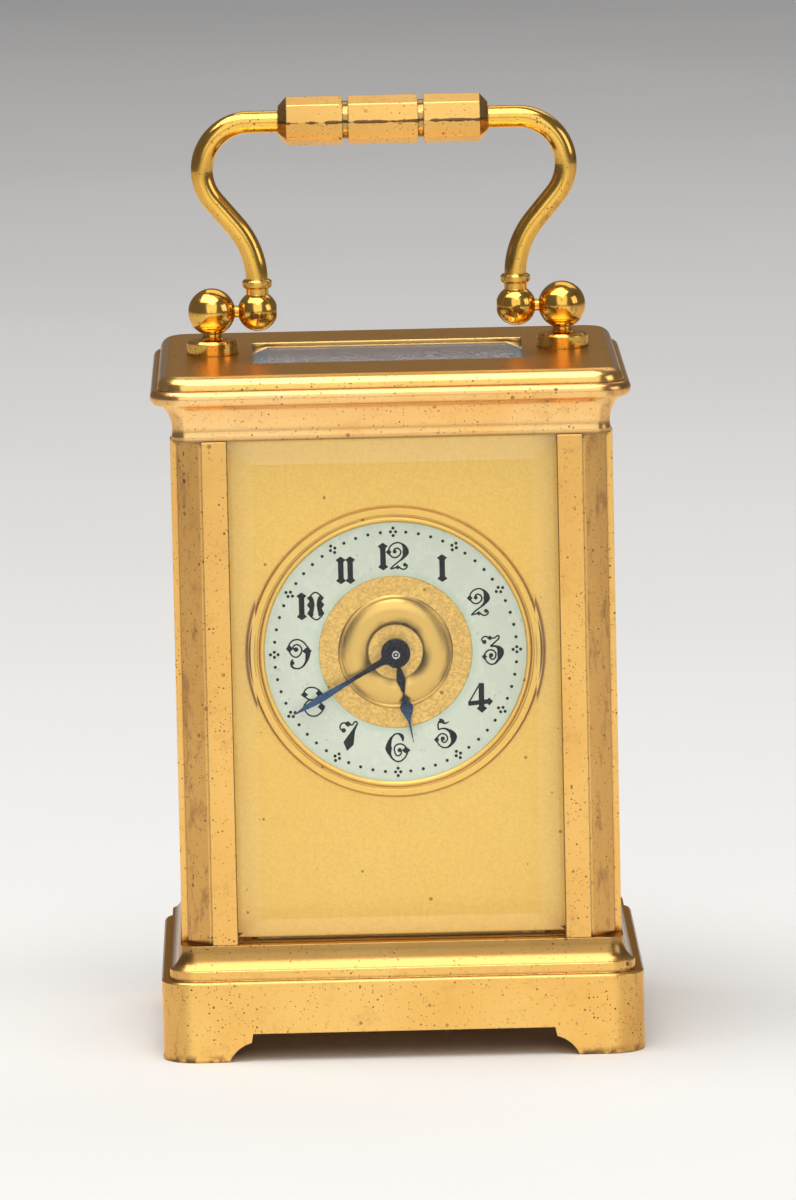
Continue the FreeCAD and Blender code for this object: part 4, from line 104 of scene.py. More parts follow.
def new_finish(name):
    """A material with one shader, its output, and coordinates in the clock's own space."""
    material = bpy.data.materials.new(name)
    material.use_nodes = True
    tree = material.node_tree
    tree.nodes.clear()
    shader = add(tree, "BsdfPrincipled")
    add(tree, "OutputMaterial", {"Surface": shader.outputs[0]})
    spot = add(tree, "TexCoord").outputs["Object"]
    return material, tree, shader, spot


def reopened(material):
    """The tree, shader, coordinates and colour of a finish that was made before."""
    tree = material.node_tree
    shader = tree.nodes["Principled BSDF"]
    spot = next(node for node in tree.nodes if node.type == "TEX_COORD").outputs["Object"]
    return tree, shader, spot, shader.inputs["Base Color"].links[0].from_socket


def calculate(tree, kind, first, second=0.0):
    """One step of arithmetic on two values."""
    return add(tree, "Math", {0: first, 1: second}, operation=kind).outputs[0]


def times(tree, first, second):
    """The product of two values."""
    return calculate(tree, "MULTIPLY", first, second)


def plus(tree, first, second):
    """The sum of two values."""
    return calculate(tree, "ADD", first, second)


def minus(tree, first, second):
    """The first value less the second."""
    return calculate(tree, "SUBTRACT", first, second)


def size_of(tree, value):
    """A value without its sign."""
    return calculate(tree, "ABSOLUTE", value)


def length(tree, across, up):
    """The length of a slanting line, from how far it goes across and up."""
    return calculate(tree, "SQRT", plus(tree, times(tree, across, across), times(tree, up, up)))


def axes(tree, vector):
    """The X, Y and Z of a vector."""
    return add(tree, "SeparateXYZ", {"Vector": vector}).outputs


def facing(tree):
    """The X, Y and Z of the direction in which a surface looks."""
    return axes(tree, add(tree, "TexCoord").outputs["Normal"])


print("helpers for nodes ready")

# %% [markdown]
# ## Masks and colours
# Each pattern starts as noise or as a distance and is stretched into a mask between 0 and 1. Masks are
# joined by taking the largest, and a mask blends one colour into another.


# %% Helpers for masks
def stretch(tree, value, low, high, start=0.0, end=1.0):
    """Maps a value that runs from low to high onto start to end."""
    inputs = {"Value": value, "From Min": low, "From Max": high, "To Min": start, "To Max": end}
    return add(tree, "MapRange", inputs, interpolation_type="SMOOTHSTEP").outputs["Result"]


def cloud(tree, spot, scale, detail=3.0, rough=0.55):
    """Soft noise; a scale of 100 gives patches of about 10 mm."""
    return add(tree, "TexNoise", {"Vector": spot, "Scale": scale, "Detail": detail,
                                  "Roughness": rough}).outputs["Fac"]


def patches(tree, spot, scale, low, high, detail=3.0, rough=0.55):
    """A mask from noise: 0 below low, 1 above high."""
    return stretch(tree, cloud(tree, spot, scale, detail, rough), low, high)


def largest(tree, *masks):
    """The largest of several masks."""
    whole = masks[0]
    for mask in masks[1:]:
        whole = calculate(tree, "MAXIMUM", whole, mask)
    return whole


def between(tree, value, low, high, soft):
    """A mask that is 1 from low to high, with soft ends."""
    start = stretch(tree, value, low - soft, low + soft)
    end = stretch(tree, value, high - soft, high + soft, 1.0, 0.0)
    return times(tree, start, end)


def blend(tree, mask, first, second):
    """Goes from the first colour to the second one as the mask goes from 0 to 1."""
    ends = [value if isinstance(value, bpy.types.NodeSocket) else (*value, 1.0) for value in (first, second)]
    return add(tree, "Mix", {0: mask, 6: ends[0], 7: ends[1]}, data_type="RGBA").outputs[2]


def darker(colour, share):
    """A colour with only a share of its light."""
    return tuple(share * part for part in colour)


print("helpers for masks ready")

# %% [markdown]
# ## Where brass ages
# The case is polished and lacquered brass that has aged: edges are rubbed bright and carry a painted
# highlight, broad areas have mellowed to different tones, and small round pits of tarnish sit everywhere.
# Corners, seams, the feet where they meet the ground, faces that look up and slanted facets are painted
# darker, as shade. The corners are found by an ambient occlusion node, and the edges by a bevel node:
# where the rounded normal leaves the true one, there is an edge. Pits could come from noise, but noise
# gives ragged blots, so they are dots in Voronoi cells.

# %% Masks for wear, pits, stains and painted shade
BASE_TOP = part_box("front_left_pillar")[0].z
CORNICE_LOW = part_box("cornice_frame")[0].z
GRIP_Z = (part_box("handle_grip")[0].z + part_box("handle_grip")[1].z) / 2
BALL_X = 21.8 * MM
BALL_Z = 121.1 * MM
SEAM_X = -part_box("front_left_pillar")[1].x
SEAM_Y = -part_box("front_left_pillar")[1].y


def edge_finder(tree, radius, low, high):
    """The rounded normal, and a mask that is 1 along the edges."""
    rounded = add(tree, "Bevel", {"Radius": radius}, samples=4).outputs["Normal"]
    true = add(tree, "NewGeometry").outputs["Normal"]
    dot = add(tree, "VectorMath", {0: rounded, 1: true}, operation="DOT_PRODUCT").outputs["Value"]
    return rounded, stretch(tree, minus(tree, 1.0, dot), low, high)


def crevices(tree, distance, low, high):
    """A mask that is 1 in corners and seams, where shade is painted."""
    open_sky = add(tree, "AmbientOcclusion", {"Distance": distance}, samples=4).outputs["AO"]
    return stretch(tree, minus(tree, 1.0, open_sky), low, high)


def slanted(tree):
    """A mask that is 1 on upright facets that look across a corner of the case, which are painted darker as
    shade.
    """
    parts = facing(tree)
    across = size_of(tree, times(tree, parts["X"], parts["Y"]))
    return stretch(tree, across, 0.12, 0.42)


def upward(tree, low=0.25, high=0.7):
    """A mask that is 1 on faces that look up, which the brass paints darker as shade."""
    parts = facing(tree)
    return stretch(tree, parts["Z"], low, high)


def middle_line(tree, spot):
    """A ragged dark line along the edges that run across the grip at half its height."""
    height = axes(tree, spot)["Z"]
    away = size_of(tree, minus(tree, height, GRIP_Z))
    wander = stretch(tree, cloud(tree, spot, 520, 4), 0.34, 0.62, 0.0, 0.34 * MM)
    return stretch(tree, minus(tree, wander, away), -0.02 * MM, 0.08 * MM)


def bare_spots(tree, spot):
    """A mask for two ragged spots, worn dark, in front of the balls on which the handle turns."""
    parts = axes(tree, spot)
    aside = minus(tree, size_of(tree, parts["X"]), BALL_X)
    drop = minus(tree, parts["Z"], BALL_Z - 0.5 * MM)
    ragged = stretch(tree, cloud(tree, spot, 900, 4), 0.38, 0.62, 0.5 * MM, 1.2 * MM)
    inside = stretch(tree, minus(tree, ragged, length(tree, aside, drop)), 0.0, 0.1 * MM)
    return times(tree, inside, stretch(tree, parts["Y"], -1.0 * MM, -1.5 * MM))


def round_pits(tree, spot, scale, share):
    """A mask of round dots, one in some of the cells that fill space; share is how many cells have one."""
    cells = add(tree, "TexVoronoi", {"Vector": spot, "Scale": scale}).outputs
    chance = add(tree, "SeparateColor", {"Color": cells["Color"]}).outputs["Red"]
    reach = stretch(tree, chance, 1.0 - share, 1.0, 0.0, 0.3)
    return stretch(tree, minus(tree, reach, cells["Distance"]), 0.0, 0.08)


def near_floor(tree, spot):
    """A mask that is 1 in ragged spots where the feet meet the ground, for painted shade there."""
    height = axes(tree, spot)["Z"]
    low = stretch(tree, height, 0.1 * MM, 1.6 * MM, 1.0, 0.0)
    return times(tree, low, patches(tree, spot, 620, 0.4, 0.62, 4))


def seam_shade(tree, spot):
    """A mask that is 1 along the inner edges of the pillars, where they meet the glass: a line of painted
    shade.
    """
    parts = axes(tree, spot)
    lines = []
    for axis, seam in (("X", SEAM_X), ("Y", SEAM_Y)):
        away = size_of(tree, parts[axis])
        lines.append(stretch(tree, away, seam + 0.1 * MM, seam + 0.24 * MM, 1.0, 0.0))
    return largest(tree, *lines)


def shelf_shade(tree, spot):
    """A mask that is 1 on the upper part of the base's moulding, painted darker as a dark reflection of the
    case.
    """
    height = axes(tree, spot)["Z"]
    return stretch(tree, height, BASE_TOP - 3.7 * MM, BASE_TOP - 2.2 * MM)


def bead_shade_line(tree, spot):
    """A mask that is 1 along the lower edge of the cornice, where it meets the glass and the pillars:
    painted shade.
    """
    height = axes(tree, spot)["Z"]
    return stretch(tree, height, CORNICE_LOW + 0.15 * MM, CORNICE_LOW + 0.55 * MM, 1.0, 0.0)


print("masks ready")

# %% [markdown]
# ## Old polished brass
# One function lays these masks over each other, from the mellow tones up to pits and painted shade. The
# rounded normal that finds the edges also takes the razor sharpness off them. The lacquer is the shader's
# coat, and it makes the highlights pale; it is worn off on flat tops. A few brasses differ in tone, in
# their stains and in their lines of painted shade.

# %% Brass with tarnish, wear, painted highlights and painted shade
# Each layer of pits has its number of cells in a metre, and the share of cells that have a pit.
PIT_LAYERS = ((2400, 1.3), (1400, 0.85), (700, 0.2))
PIT_BROWN = (0.1, 0.042, 0.014)
CORNER_SHADE_BROWN = (0.1, 0.042, 0.015)
FACET_SHADE_BROWN = (0.24, 0.095, 0.035)
RUBBED_EDGE_HIGHLIGHT = (1.0, 0.72, 0.33)
HIGHLIGHT_TINT = (1.0, 0.72, 0.42, 1.0)
YELLOW_TONES = ((0.98, 0.61, 0.165), (0.93, 0.53, 0.125))
ROSY_TONES = ((0.98, 0.61, 0.23), (0.94, 0.53, 0.155), (0.45, 0.21, 0.06))


def old_brass(name, fresh, mellow, dark, gloss, pitting, corner_shading, top_shading, stain_and_shade=None, strength=0.0):
    """Polished brass; the amounts set pits and painted shade in corners and on tops; the mask adds a stain
    or shade line.
    """
    material, tree, shader, spot = new_finish(name)
    mood = patches(tree, spot, 42, 0.34, 0.68, 3)
    film = patches(tree, spot, 230, 0.5, 0.8, 6, 0.7)
    crowd = stretch(tree, cloud(tree, spot, 130), 0.4, 0.62, 0.4, 1.0)
    pits = largest(tree, *[round_pits(tree, spot, scale, share * pitting) for scale, share in PIT_LAYERS])
    pits = times(tree, pits, crowd)
    rounded, edges = edge_finder(tree, 0.3 * MM, 0.02, 0.2)
    # Corners, seams and the feet on the ground are painted darker, as shade.
    corners = largest(tree, crevices(tree, 1.2 * MM, 0.25, 0.6), near_floor(tree, spot))
    corner_shade = times(tree, corners, corner_shading)
    # Facets that look across a corner are painted darker, as shade, partly in brown streaks.
    facets = slanted(tree)
    streaks = add(tree, "Mapping", {"Vector": spot, "Scale": (420, 420, 150)}).outputs[0]
    facet_shade_streaks = times(tree, facets, patches(tree, streaks, 1.0, 0.5, 0.66, 5, 0.7))
    # Faces that look up are painted darker, as shade.
    tops = times(tree, upward(tree), top_shading)
    tone = blend(tree, mood, fresh, mellow)
    tone = blend(tree, times(tree, facets, 0.5), tone, dark)
    tone = blend(tree, times(tree, facet_shade_streaks, 0.55), tone, FACET_SHADE_BROWN)
    tone = blend(tree, times(tree, film, 0.3), tone, dark)
    tone = blend(tree, tops, tone, dark)
    # Edges are rubbed bright by wear and also get a painted highlight.
    tone = blend(tree, times(tree, edges, 0.7), tone, RUBBED_EDGE_HIGHLIGHT)
    dulled = corner_shade
    # The mask darkens the handle in worn spots and a ragged line, and paints shade on the case.
    if stain_and_shade:
        stain_and_shade_mask = times(tree, stain_and_shade(tree, spot), strength)
        tone = blend(tree, stain_and_shade_mask, tone, darker(dark, 0.3))
        dulled = largest(tree, corner_shade, times(tree, stain_and_shade_mask, 0.6))
    tone = blend(tree, times(tree, pits, 0.85), tone, PIT_BROWN)
    tone = blend(tree, corner_shade, tone, CORNER_SHADE_BROWN)
    dull = largest(tree, times(tree, film, 0.4), times(tree, pits, 0.8), dulled, times(tree, tops, 0.4))
    hollows = minus(tree, times(tree, cloud(tree, spot, 4200, 2), 0.35), pits)
    bump = add(tree, "Bump", {"Height": hollows, "Strength": 0.12, "Distance": 0.03 * MM, "Normal": rounded})
    lacquer = stretch(tree, upward(tree, 0.9, 0.98), 0, 1, 0.5, 0.0)
    feed(tree, shader, {"Base Color": tone, "Metallic": 1.0, "Specular Tint": HIGHLIGHT_TINT,
                        "Roughness": stretch(tree, dull, 0, 1, gloss, 0.6), "Coat Weight": lacquer,
                        "Coat Roughness": 0.12, "Normal": bump.outputs[0]})
    return material


yellow_brass = old_brass("case_brass_yellow", *YELLOW_TONES, (0.62, 0.34, 0.11),
                         gloss=0.2, pitting=0.6, corner_shading=0.9, top_shading=0.7)
base_brass = old_brass("case_brass_base", *YELLOW_TONES, (0.48, 0.23, 0.05),
                       gloss=0.2, pitting=0.6, corner_shading=0.9, top_shading=0.8, stain_and_shade=shelf_shade, strength=0.6)
pillar_brass = old_brass("case_brass_pillar", (0.95, 0.56, 0.15), (0.9, 0.5, 0.12), (0.42, 0.2, 0.05),
                         gloss=0.22, pitting=0.65, corner_shading=0.9, top_shading=0.5, stain_and_shade=seam_shade, strength=0.85)
rosy_brass = old_brass("case_brass_rosy", *ROSY_TONES, gloss=0.22, pitting=0.65, corner_shading=0.9, top_shading=0.7)
cornice_brass = old_brass("case_brass_cornice", *ROSY_TONES,
                          gloss=0.22, pitting=0.65, corner_shading=0.9, top_shading=0.7, stain_and_shade=bead_shade_line, strength=0.65)
handle_brass = old_brass("handle_brass_aged", (0.97, 0.59, 0.1), (0.92, 0.52, 0.075), (0.36, 0.17, 0.03),
                         gloss=0.12, pitting=0.75, corner_shading=0.85, top_shading=0.3, stain_and_shade=bare_spots, strength=0.9)
# The grip gets a darker copy of the handle's brass, painted shade that tones down its bright facets.
shaded_grip_brass = old_brass("handle_brass_grip_shaded", (0.76, 0.45, 0.115), (0.69, 0.39, 0.09), (0.32, 0.15, 0.035),
                       gloss=0.13, pitting=0.65, corner_shading=0.85, top_shading=0.3, stain_and_shade=middle_line, strength=0.95)
for finish in (yellow_brass, base_brass, pillar_brass, rosy_brass, cornice_brass, handle_brass, shaded_grip_brass):
    print("made", finish.name)

# %% [markdown]
# ## Gilding on the dial plates
# The mask behind the front glass is gilded and left matte, like frosted sugar, with a few tiny dark
# specks. The bezel around the dial is the same gilding, turned smooth, and two crescents of painted shade
# stand for the slits that part it from the lugs beside it. The middle of the dial has both: matte flats and
# bright turned rings, with painted shade near the edges of its dish. Separate pieces could show that, but
# the rings are one plate on the real clock, so one material changes with the distance from the dial's axis.

# %% Matte gilding, bright bezel and the turned dial center
DIAL_Z = 66.4 * MM
# The crescents of painted shade lie on a circle, in millimetres from the axis, and thin out away from their
# middle.
SLIT_CIRCLE = 23.75
SLIT_HALF_WIDTH = 0.2
SLIT_HALF_LENGTH = 5.9 * MM
SLIT_SHADE_BROWN = (0.16, 0.075, 0.02)
GILT_EDGE_HIGHLIGHT = (1.0, 0.76, 0.36)
SPECK_BROWN = (0.2, 0.1, 0.03)
TURNED_GOLD = (0.84, 0.54, 0.15)
DISH_SHADE_BROWN = (0.2, 0.13, 0.06)


def distance_from_axis(tree, spot):
    """Distance from the dial's axis in millimetres."""
    parts = axes(tree, spot)
    return times(tree, length(tree, parts["X"], minus(tree, parts["Z"], DIAL_Z)), 1 / MM)


def slit_shade(tree, spot):
    """A mask for the two crescents of painted shade where slits part the bezel from the lugs beside it."""
    rise = minus(tree, axes(tree, spot)["Z"], DIAL_Z)
    slope = times(tree, times(tree, rise, rise), -SLIT_HALF_WIDTH / SLIT_HALF_LENGTH ** 2)
    off = size_of(tree, minus(tree, distance_from_axis(tree, spot), SLIT_CIRCLE))
    return stretch(tree, minus(tree, plus(tree, slope, SLIT_HALF_WIDTH), off), 0.0, 0.06)


def gilding(name, fresh, deep, rough, grain, sand_scale, corner_shading, rings=()):
    """Gilding of a given roughness; rings are (from, to) in millimetres from the axis, and brighter."""
    material, tree, shader, spot = new_finish(name)
    tone = blend(tree, patches(tree, spot, 40, 0.3, 0.75, 3), fresh, deep)
    grains = add(tree, "TexVoronoi", {"Vector": spot, "Scale": sand_scale}).outputs["Color"]
    sand = add(tree, "SeparateColor", {"Color": grains}).outputs["Red"]
    tone = blend(tree, times(tree, sand, grain), tone, darker(deep, 0.5))
    specks = round_pits(tree, spot, 800, 0.08)
    rounded, edges = edge_finder(tree, 0.2 * MM, 0.02, 0.2)
    # Corners are painted darker, as shade.
    corner_shade = times(tree, crevices(tree, 0.9 * MM, 0.25, 0.65), corner_shading)
    # Edges get the same wear and painted highlight.
    tone = blend(tree, times(tree, edges, 0.5), tone, GILT_EDGE_HIGHLIGHT)
    tone = blend(tree, times(tree, specks, 0.7), tone, SPECK_BROWN)
    stipple = grain
    gloss = rough
    if rings:
        away = distance_from_axis(tree, spot)
        bright = largest(tree, *[between(tree, away, low, high, 0.05) for low, high in rings])
        gloss = stretch(tree, bright, 0, 1, rough, 0.3)
        stipple = stretch(tree, bright, 0, 1, grain, 0.02)
        outwards = add(tree, "CombineXYZ", {"X": away}).outputs[0]
        turned = add(tree, "TexWave", {"Vector": outwards, "Scale": 3.0, "Distortion": 0.6,
                                       "Detail": 2.0}).outputs["Fac"]
        sand = plus(tree, sand, times(tree, times(tree, turned, bright), 0.6))
        tone = blend(tree, bright, tone, TURNED_GOLD)
        # The dish is painted darker near its inner flat and its outer ring, as shade.
        dish_shade = largest(tree, stretch(tree, away, 4.9, 6.4, 1.0, 0.0), stretch(tree, away, 8.0, 8.8))
        dish_shade = times(tree, dish_shade, patches(tree, spot, 130, 0.4, 0.62, 2))
        tone = blend(tree, times(tree, times(tree, dish_shade, bright), 0.7), tone, DISH_SHADE_BROWN)
    # Corners and the slits are painted dark, as shade.
    tone = blend(tree, largest(tree, corner_shade, slit_shade(tree, spot)), tone, SLIT_SHADE_BROWN)
    worn = minus(tree, gloss, times(tree, edges, 0.12))
    bump = add(tree, "Bump", {"Height": sand, "Strength": stipple, "Distance": 0.05 * MM, "Normal": rounded})
    feed(tree, shader, {"Base Color": tone, "Metallic": 1.0,
                        "Roughness": plus(tree, worn, times(tree, corner_shade, 0.15)), "Normal": bump.outputs[0]})
    return material


mask_gilt = gilding("gilt_matte", (1.0, 0.65, 0.165), (1.0, 0.63, 0.15),
                    rough=0.42, grain=0.18, sand_scale=3200, corner_shading=0.55)
bezel_gilt = gilding("gilt_bright", (1.0, 0.65, 0.16), (1.0, 0.62, 0.14),
                     rough=0.5, grain=0.08, sand_scale=3600, corner_shading=0.7)
center_gilt = gilding("gilt_turned", (1.0, 0.66, 0.2), (0.96, 0.6, 0.17),
                      rough=0.46, grain=0.55, sand_scale=2900, corner_shading=0.6, rings=[(4.5, 8.85), (8.95, 9.5)])
print("made", mask_gilt.name, bezel_gilt.name, center_gilt.name)

# %% [markdown]
# ## Enamel
# The chapter ring is white enamel with a breath of green, fired on metal, so it is glossy and not quite
# flat. A coat layer over a pale body gives the depth of the glaze, and very weak noise gives its
# waviness. Its inner and outer rims are painted darker and greener, as shade from the rings beside it.

# %% Fired enamel
ENAMEL_WHITE = (0.66, 0.71, 0.585)
ENAMEL_SHADE = (0.62, 0.675, 0.545)
ENAMEL_RIM_SHADE = (0.48, 0.58, 0.43)
ENAMEL_SPECK = (0.3, 0.27, 0.2)
enamel, tree, shader, spot = new_finish("enamel_fired")
away = distance_from_axis(tree, spot)
# Both rims of the enamel get painted shade.
rim = largest(tree, stretch(tree, away, 20.6, 22.0), stretch(tree, away, 14.2, 12.75))
specks = patches(tree, spot, 1700, 0.74, 0.79, 1)
tone = blend(tree, patches(tree, spot, 110, 0.35, 0.7), ENAMEL_WHITE, ENAMEL_SHADE)
tone = blend(tree, times(tree, rim, 0.55), tone, ENAMEL_RIM_SHADE)
tone = blend(tree, times(tree, specks, 0.5), tone, ENAMEL_SPECK)
wave = add(tree, "Bump", {"Height": cloud(tree, spot, 180, 2), "Strength": 0.06, "Distance": 0.2 * MM})
feed(tree, shader, {"Base Color": tone, "Coat Weight": 0.6, "Coat Roughness": 0.05,
                    "Roughness": stretch(tree, cloud(tree, spot, 300), 0.3, 0.7, 0.22, 0.3),
                    "Normal": wave.outputs[0]})
print("made", enamel.name)

# %% [markdown]
# ## Steel, blued steel and the brass of the movement
# The hands are steel that was heated until its skin turned blue, so the colour sits in the reflection and
# drifts from almost black to blue. The wheels and plates of the movement are satin brass, and the screws
# and springs plain steel. All three have fine scratches: noise that is squeezed along one direction.

# %% Satin metals
UPRIGHT_SCRATCHES = (500, 500, 9000)
EVEN_SCRATCHES = (2500, 2500, 2500)


def satin(name, fresh, mellow, gloss, rough, scratch=UPRIGHT_SCRATCHES, spots=0.4):
    """A metal with fine scratches along one direction, a few dull spots, and painted shade in its corners.
    """
    material, tree, shader, spot = new_finish(name)
    tone = blend(tree, patches(tree, spot, 160, 0.36, 0.66, 4), fresh, mellow)
    dull = times(tree, patches(tree, spot, 700, 0.6, 0.72, 4), spots)
    corner_shade = times(tree, crevices(tree, 0.8 * MM, 0.35, 0.8), 0.7)
    tone = blend(tree, dull, tone, darker(mellow, 0.3))
    tone = blend(tree, corner_shade, tone, darker(mellow, 0.12))
    lines = add(tree, "Mapping", {"Vector": spot, "Scale": scratch}).outputs[0]
    hair = cloud(tree, lines, 1.0, 3, 0.6)
    worn = stretch(tree, hair, 0.3, 0.7, gloss, rough)
    rounded = add(tree, "Bevel", {"Radius": 0.12 * MM}, samples=4).outputs["Normal"]
    bump = add(tree, "Bump", {"Height": hair, "Strength": 0.05, "Distance": 0.02 * MM, "Normal": rounded})
    feed(tree, shader, {"Base Color": tone, "Metallic": 1.0, "Normal": bump.outputs[0],
                        "Roughness": plus(tree, worn, times(tree, dull, 0.3))})
    return material


movement_brass = satin("movement_brass_satin", (0.93, 0.67, 0.28), (0.85, 0.58, 0.23),
                       gloss=0.26, rough=0.36, spots=0.15)
steel = satin("steel_satin", (0.62, 0.62, 0.63), (0.45, 0.45, 0.47), gloss=0.2, rough=0.38)
blued = satin("steel_blued", (0.02, 0.022, 0.03), (0.012, 0.014, 0.02),
              gloss=0.2, rough=0.36, scratch=EVEN_SCRATCHES, spots=0.25)
tree, shader, spot, black = reopened(blued)
outer = stretch(tree, distance_from_axis(tree, spot), 7.0, 12.0)
skin = blend(tree, cloud(tree, spot, 400), (0.03, 0.07, 0.15), (0.06, 0.12, 0.24))
feed(tree, shader, {"Base Color": blend(tree, outer, black, skin)})
print("made", movement_brass.name, steel.name, blued.name)

# %% [markdown]
# ## Glass
# The five glasses are clear, with wide bevels that mirror more of the room than the flats do. The shader
# bends light as glass does, but lets shadows through with a see-through shader, because bent light
# reaches the inside far too slowly in a path tracer. Dust lies on the top glass. Grains of dust could be
# modelled one by one, but the sheen layer of the shader is made for such a pale film, so a fleck mask
# drives it, strongest near the front.

# %% Clear glass and dusty glass
GLASS_MIRROR = (0.4, 0.4, 0.42, 1.0)
DUST_TINT = (0.85, 0.93, 1.0, 1.0)
DUST_FADE = 26 * MM


def glass(name, tint, smears, dust_from=None):
    """Clear glass with some smears; dust_from is the front edge of a glass on which dust lies."""
    material, tree, shader, spot = new_finish(name)
    parts = facing(tree)
    straight = largest(tree, *[size_of(tree, parts[axis]) for axis in "XYZ"])
    bevels = stretch(tree, straight, 0.985, 0.995, 1.0, 0.0)
    film = patches(tree, spot, 150, 0.38, 0.75, 6, 0.7)
    grains = patches(tree, spot, 2400, 0.68, 0.76, 2)
    veil = largest(tree, times(tree, film, 0.5), grains)
    feed(tree, shader, {"Base Color": (*tint, 1.0), "Transmission Weight": 1.0, "IOR": 1.5,
                        "Specular Tint": GLASS_MIRROR, "Coat Weight": bevels, "Coat IOR": 1.6,
                        "Roughness": stretch(tree, veil, 0, 1, 0.0, smears)})
    if dust_from is not None:
        near = stretch(tree, axes(tree, spot)["Y"], dust_from, dust_from + DUST_FADE, 1.0, 0.25)
        flecks = patches(tree, spot, 1500, 0.4, 0.62, 3, 0.7)
        feed(tree, shader, {"Sheen Weight": times(tree, near, flecks), "Sheen Roughness": 0.5,
                            "Sheen Tint": DUST_TINT})
    clear = add(tree, "BsdfTransparent", {"Color": (*tint, 1.0)})
    shadow = add(tree, "LightPath").outputs["Is Shadow Ray"]
    mixed = add(tree, "MixShader", {0: shadow, 1: shader.outputs[0], 2: clear.outputs[0]})
    output = next(node for node in tree.nodes if node.type == "OUTPUT_MATERIAL")
    feed(tree, output, {"Surface": mixed.outputs[0]})
    return material


clear_glass = glass("glass_clear", (0.985, 0.995, 0.99), 0.02)
dusty_glass = glass("glass_dusty", (0.95, 0.97, 0.96), 0.03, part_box("top_glass")[0].y)
print("made", clear_glass.name, dusty_glass.name)

# %% [markdown]
# ## Every part gets its finish
# Each loaded part has one material slot, named after the finish that the record gives it. So a small
# table from those names to the finishes dresses the whole clock, and the few parts that differ follow by
# name.

# %% Dress the loaded parts
finishes = {"case_brass": rosy_brass, "handle_brass": handle_brass, "glass": clear_glass, "gilt": mask_gilt,
            "enamel": enamel, "blued_steel": blued, "movement_brass": movement_brass, "steel": steel}
special = {"dial_bezel": bezel_gilt, "dial_center": center_gilt, "top_glass": dusty_glass,
           "base_frame": base_brass, "cornice_frame": cornice_brass, "top_plate": yellow_brass,
           "handle_grip": shaded_grip_brass}
special.update({name: pillar_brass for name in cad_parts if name.endswith("_pillar")})
for name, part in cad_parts.items():
    for index, holder in enumerate(part.material_slots):
        slot_name = holder.material.name.split(".")[0]
        part.data.materials[index] = special.get(name, finishes[slot_name])
print("dressed", len(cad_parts), "parts")

# %% [markdown]
# ## Numerals
# The numerals are painted on the enamel in ornamental figures: hairlines that swell into diamonds, and
# curls that end in a dot. A font would have the wrong shapes, so each figure is drawn as strokes: curves
# whose radius is half the width of the stroke. The units are tenths of a millimetre from the figure's
# middle.

# %% Strokes of the figures
HAIRLINE = 1.05
BOLD = 1.25


def line(*points):
    """A smooth stroke through points, hairline unless a point gives its half width."""
    return "smooth", [point if len(point) == 3 else (*point, HAIRLINE) for point in points]


def blade(*points):
    """A straight-sided stroke through (x, y, half width)."""
    return "straight", list(points)


def diamond(x, y, half_width, half_height):
    """A diamond on a stroke."""
    return blade((x, y + half_height, 0.2), (x, y, half_width), (x, y - half_height, 0.2))


def ball(x, y, radius):
    """A round end of a curl."""
    return "dot", [(x, y, radius)]


ONE = [blade((0, 23, 0.3), (0, 17.5, 6.8), (0, 13.6, 3.7), (0, -13.6, 3.7), (0, -17.5, 6.8), (0, -23, 0.3))]
TWO = [line((-14, 7.5), (-12, 15.5), (-2, 22.5), (7.5, 21), (13.5, 12.5, 3.5), (14, 6.5, 4.5),
            (10.5, -1.5, 2), (3.5, -8), (-4.5, -14), (-12, -21)),
       line((-14, 7.5), (-11, 1.5), (-4.5, -2), (3, 1), (6, 6.5), (3.5, 12), (-1.5, 13.5), (-5, 10),
            (-4, 8)),
       ball(-4, 8, 2.7), diamond(-14, 7.5, 4, 5),
       line((-12, -21), (-5, -19.5), (1, -17.5), (7.5, -21.5), (13.5, -21), (16, -15.5), (12.5, -14)),
       diamond(0.5, -18.5, 3.3, 3.8), ball(12.5, -14.5, 2.7)]
THREE = [line((-12.7, 14), (-16.7, 16.5), (-15, 21), (-9.7, 22.5), (-3.7, 20), (3.7, 20), (9.7, 24)),
         diamond(-3.5, 20, 4, 4), ball(-12.7, 13.6, 3), line((9.7, 24), (12, 22), (5, 13), (-3, 6)),
         line((-3, 6), (6.7, 5.7, 1.5), (13.4, -0.3, 4.2), (13.7, -6.3, 4.5), (9.7, -16.7, 1.8), (0.7, -24),
              (-8, -21), (-13.4, -11.5)),
         line((-13.4, -11.5), (-10.4, -4), (-3, 0), (4.5, -3.3), (5.7, -10.7), (1.5, -15.5), (-3, -13.7),
              (-3.7, -9.3), (-1.8, -8.8)),
         ball(-1.8, -8.8, 3), diamond(-13, -11.3, 3.7, 4.8)]
FOUR = [blade((2.2, 24.8, 3.7), (2.2, -13.7, 3.7)), diamond(2.5, -17.5, 7, 7.5),
        line((-0.7, 22.8), (-10, 7.2), (-19.4, -8.5)), blade((-20, -9.3, 3), (12, -6.3, 3)),
        diamond(15, -6.3, 5, 6.5)]
FIVE = [line((-11.6, 6.7), (-12, 16.4), (-9, 21.6)),
        line((-10.4, 21.6, 3.2), (-6, 21, 3), (-0.7, 17.2, 1.2), (6, 20, 0.6)),
        line((-11.6, 6.7), (-4.5, 8.7), (4.5, 6, 1.8), (12, -1.5, 4.2), (13.4, -6, 4.5), (9, -18, 1.8),
             (-0.7, -23.6), (-10.4, -19.4), (-15, -11)),
        line((-15, -10.4), (-12, -3.7), (-4.5, 0), (2.2, -4.5), (2.2, -11), (-3, -14.6), (-6.7, -11),
             (-6, -7.5)),
        ball(-4.8, -8.2, 3), diamond(-15, -10, 3.7, 4.8), diamond(13, -5.7, 5, 6)]
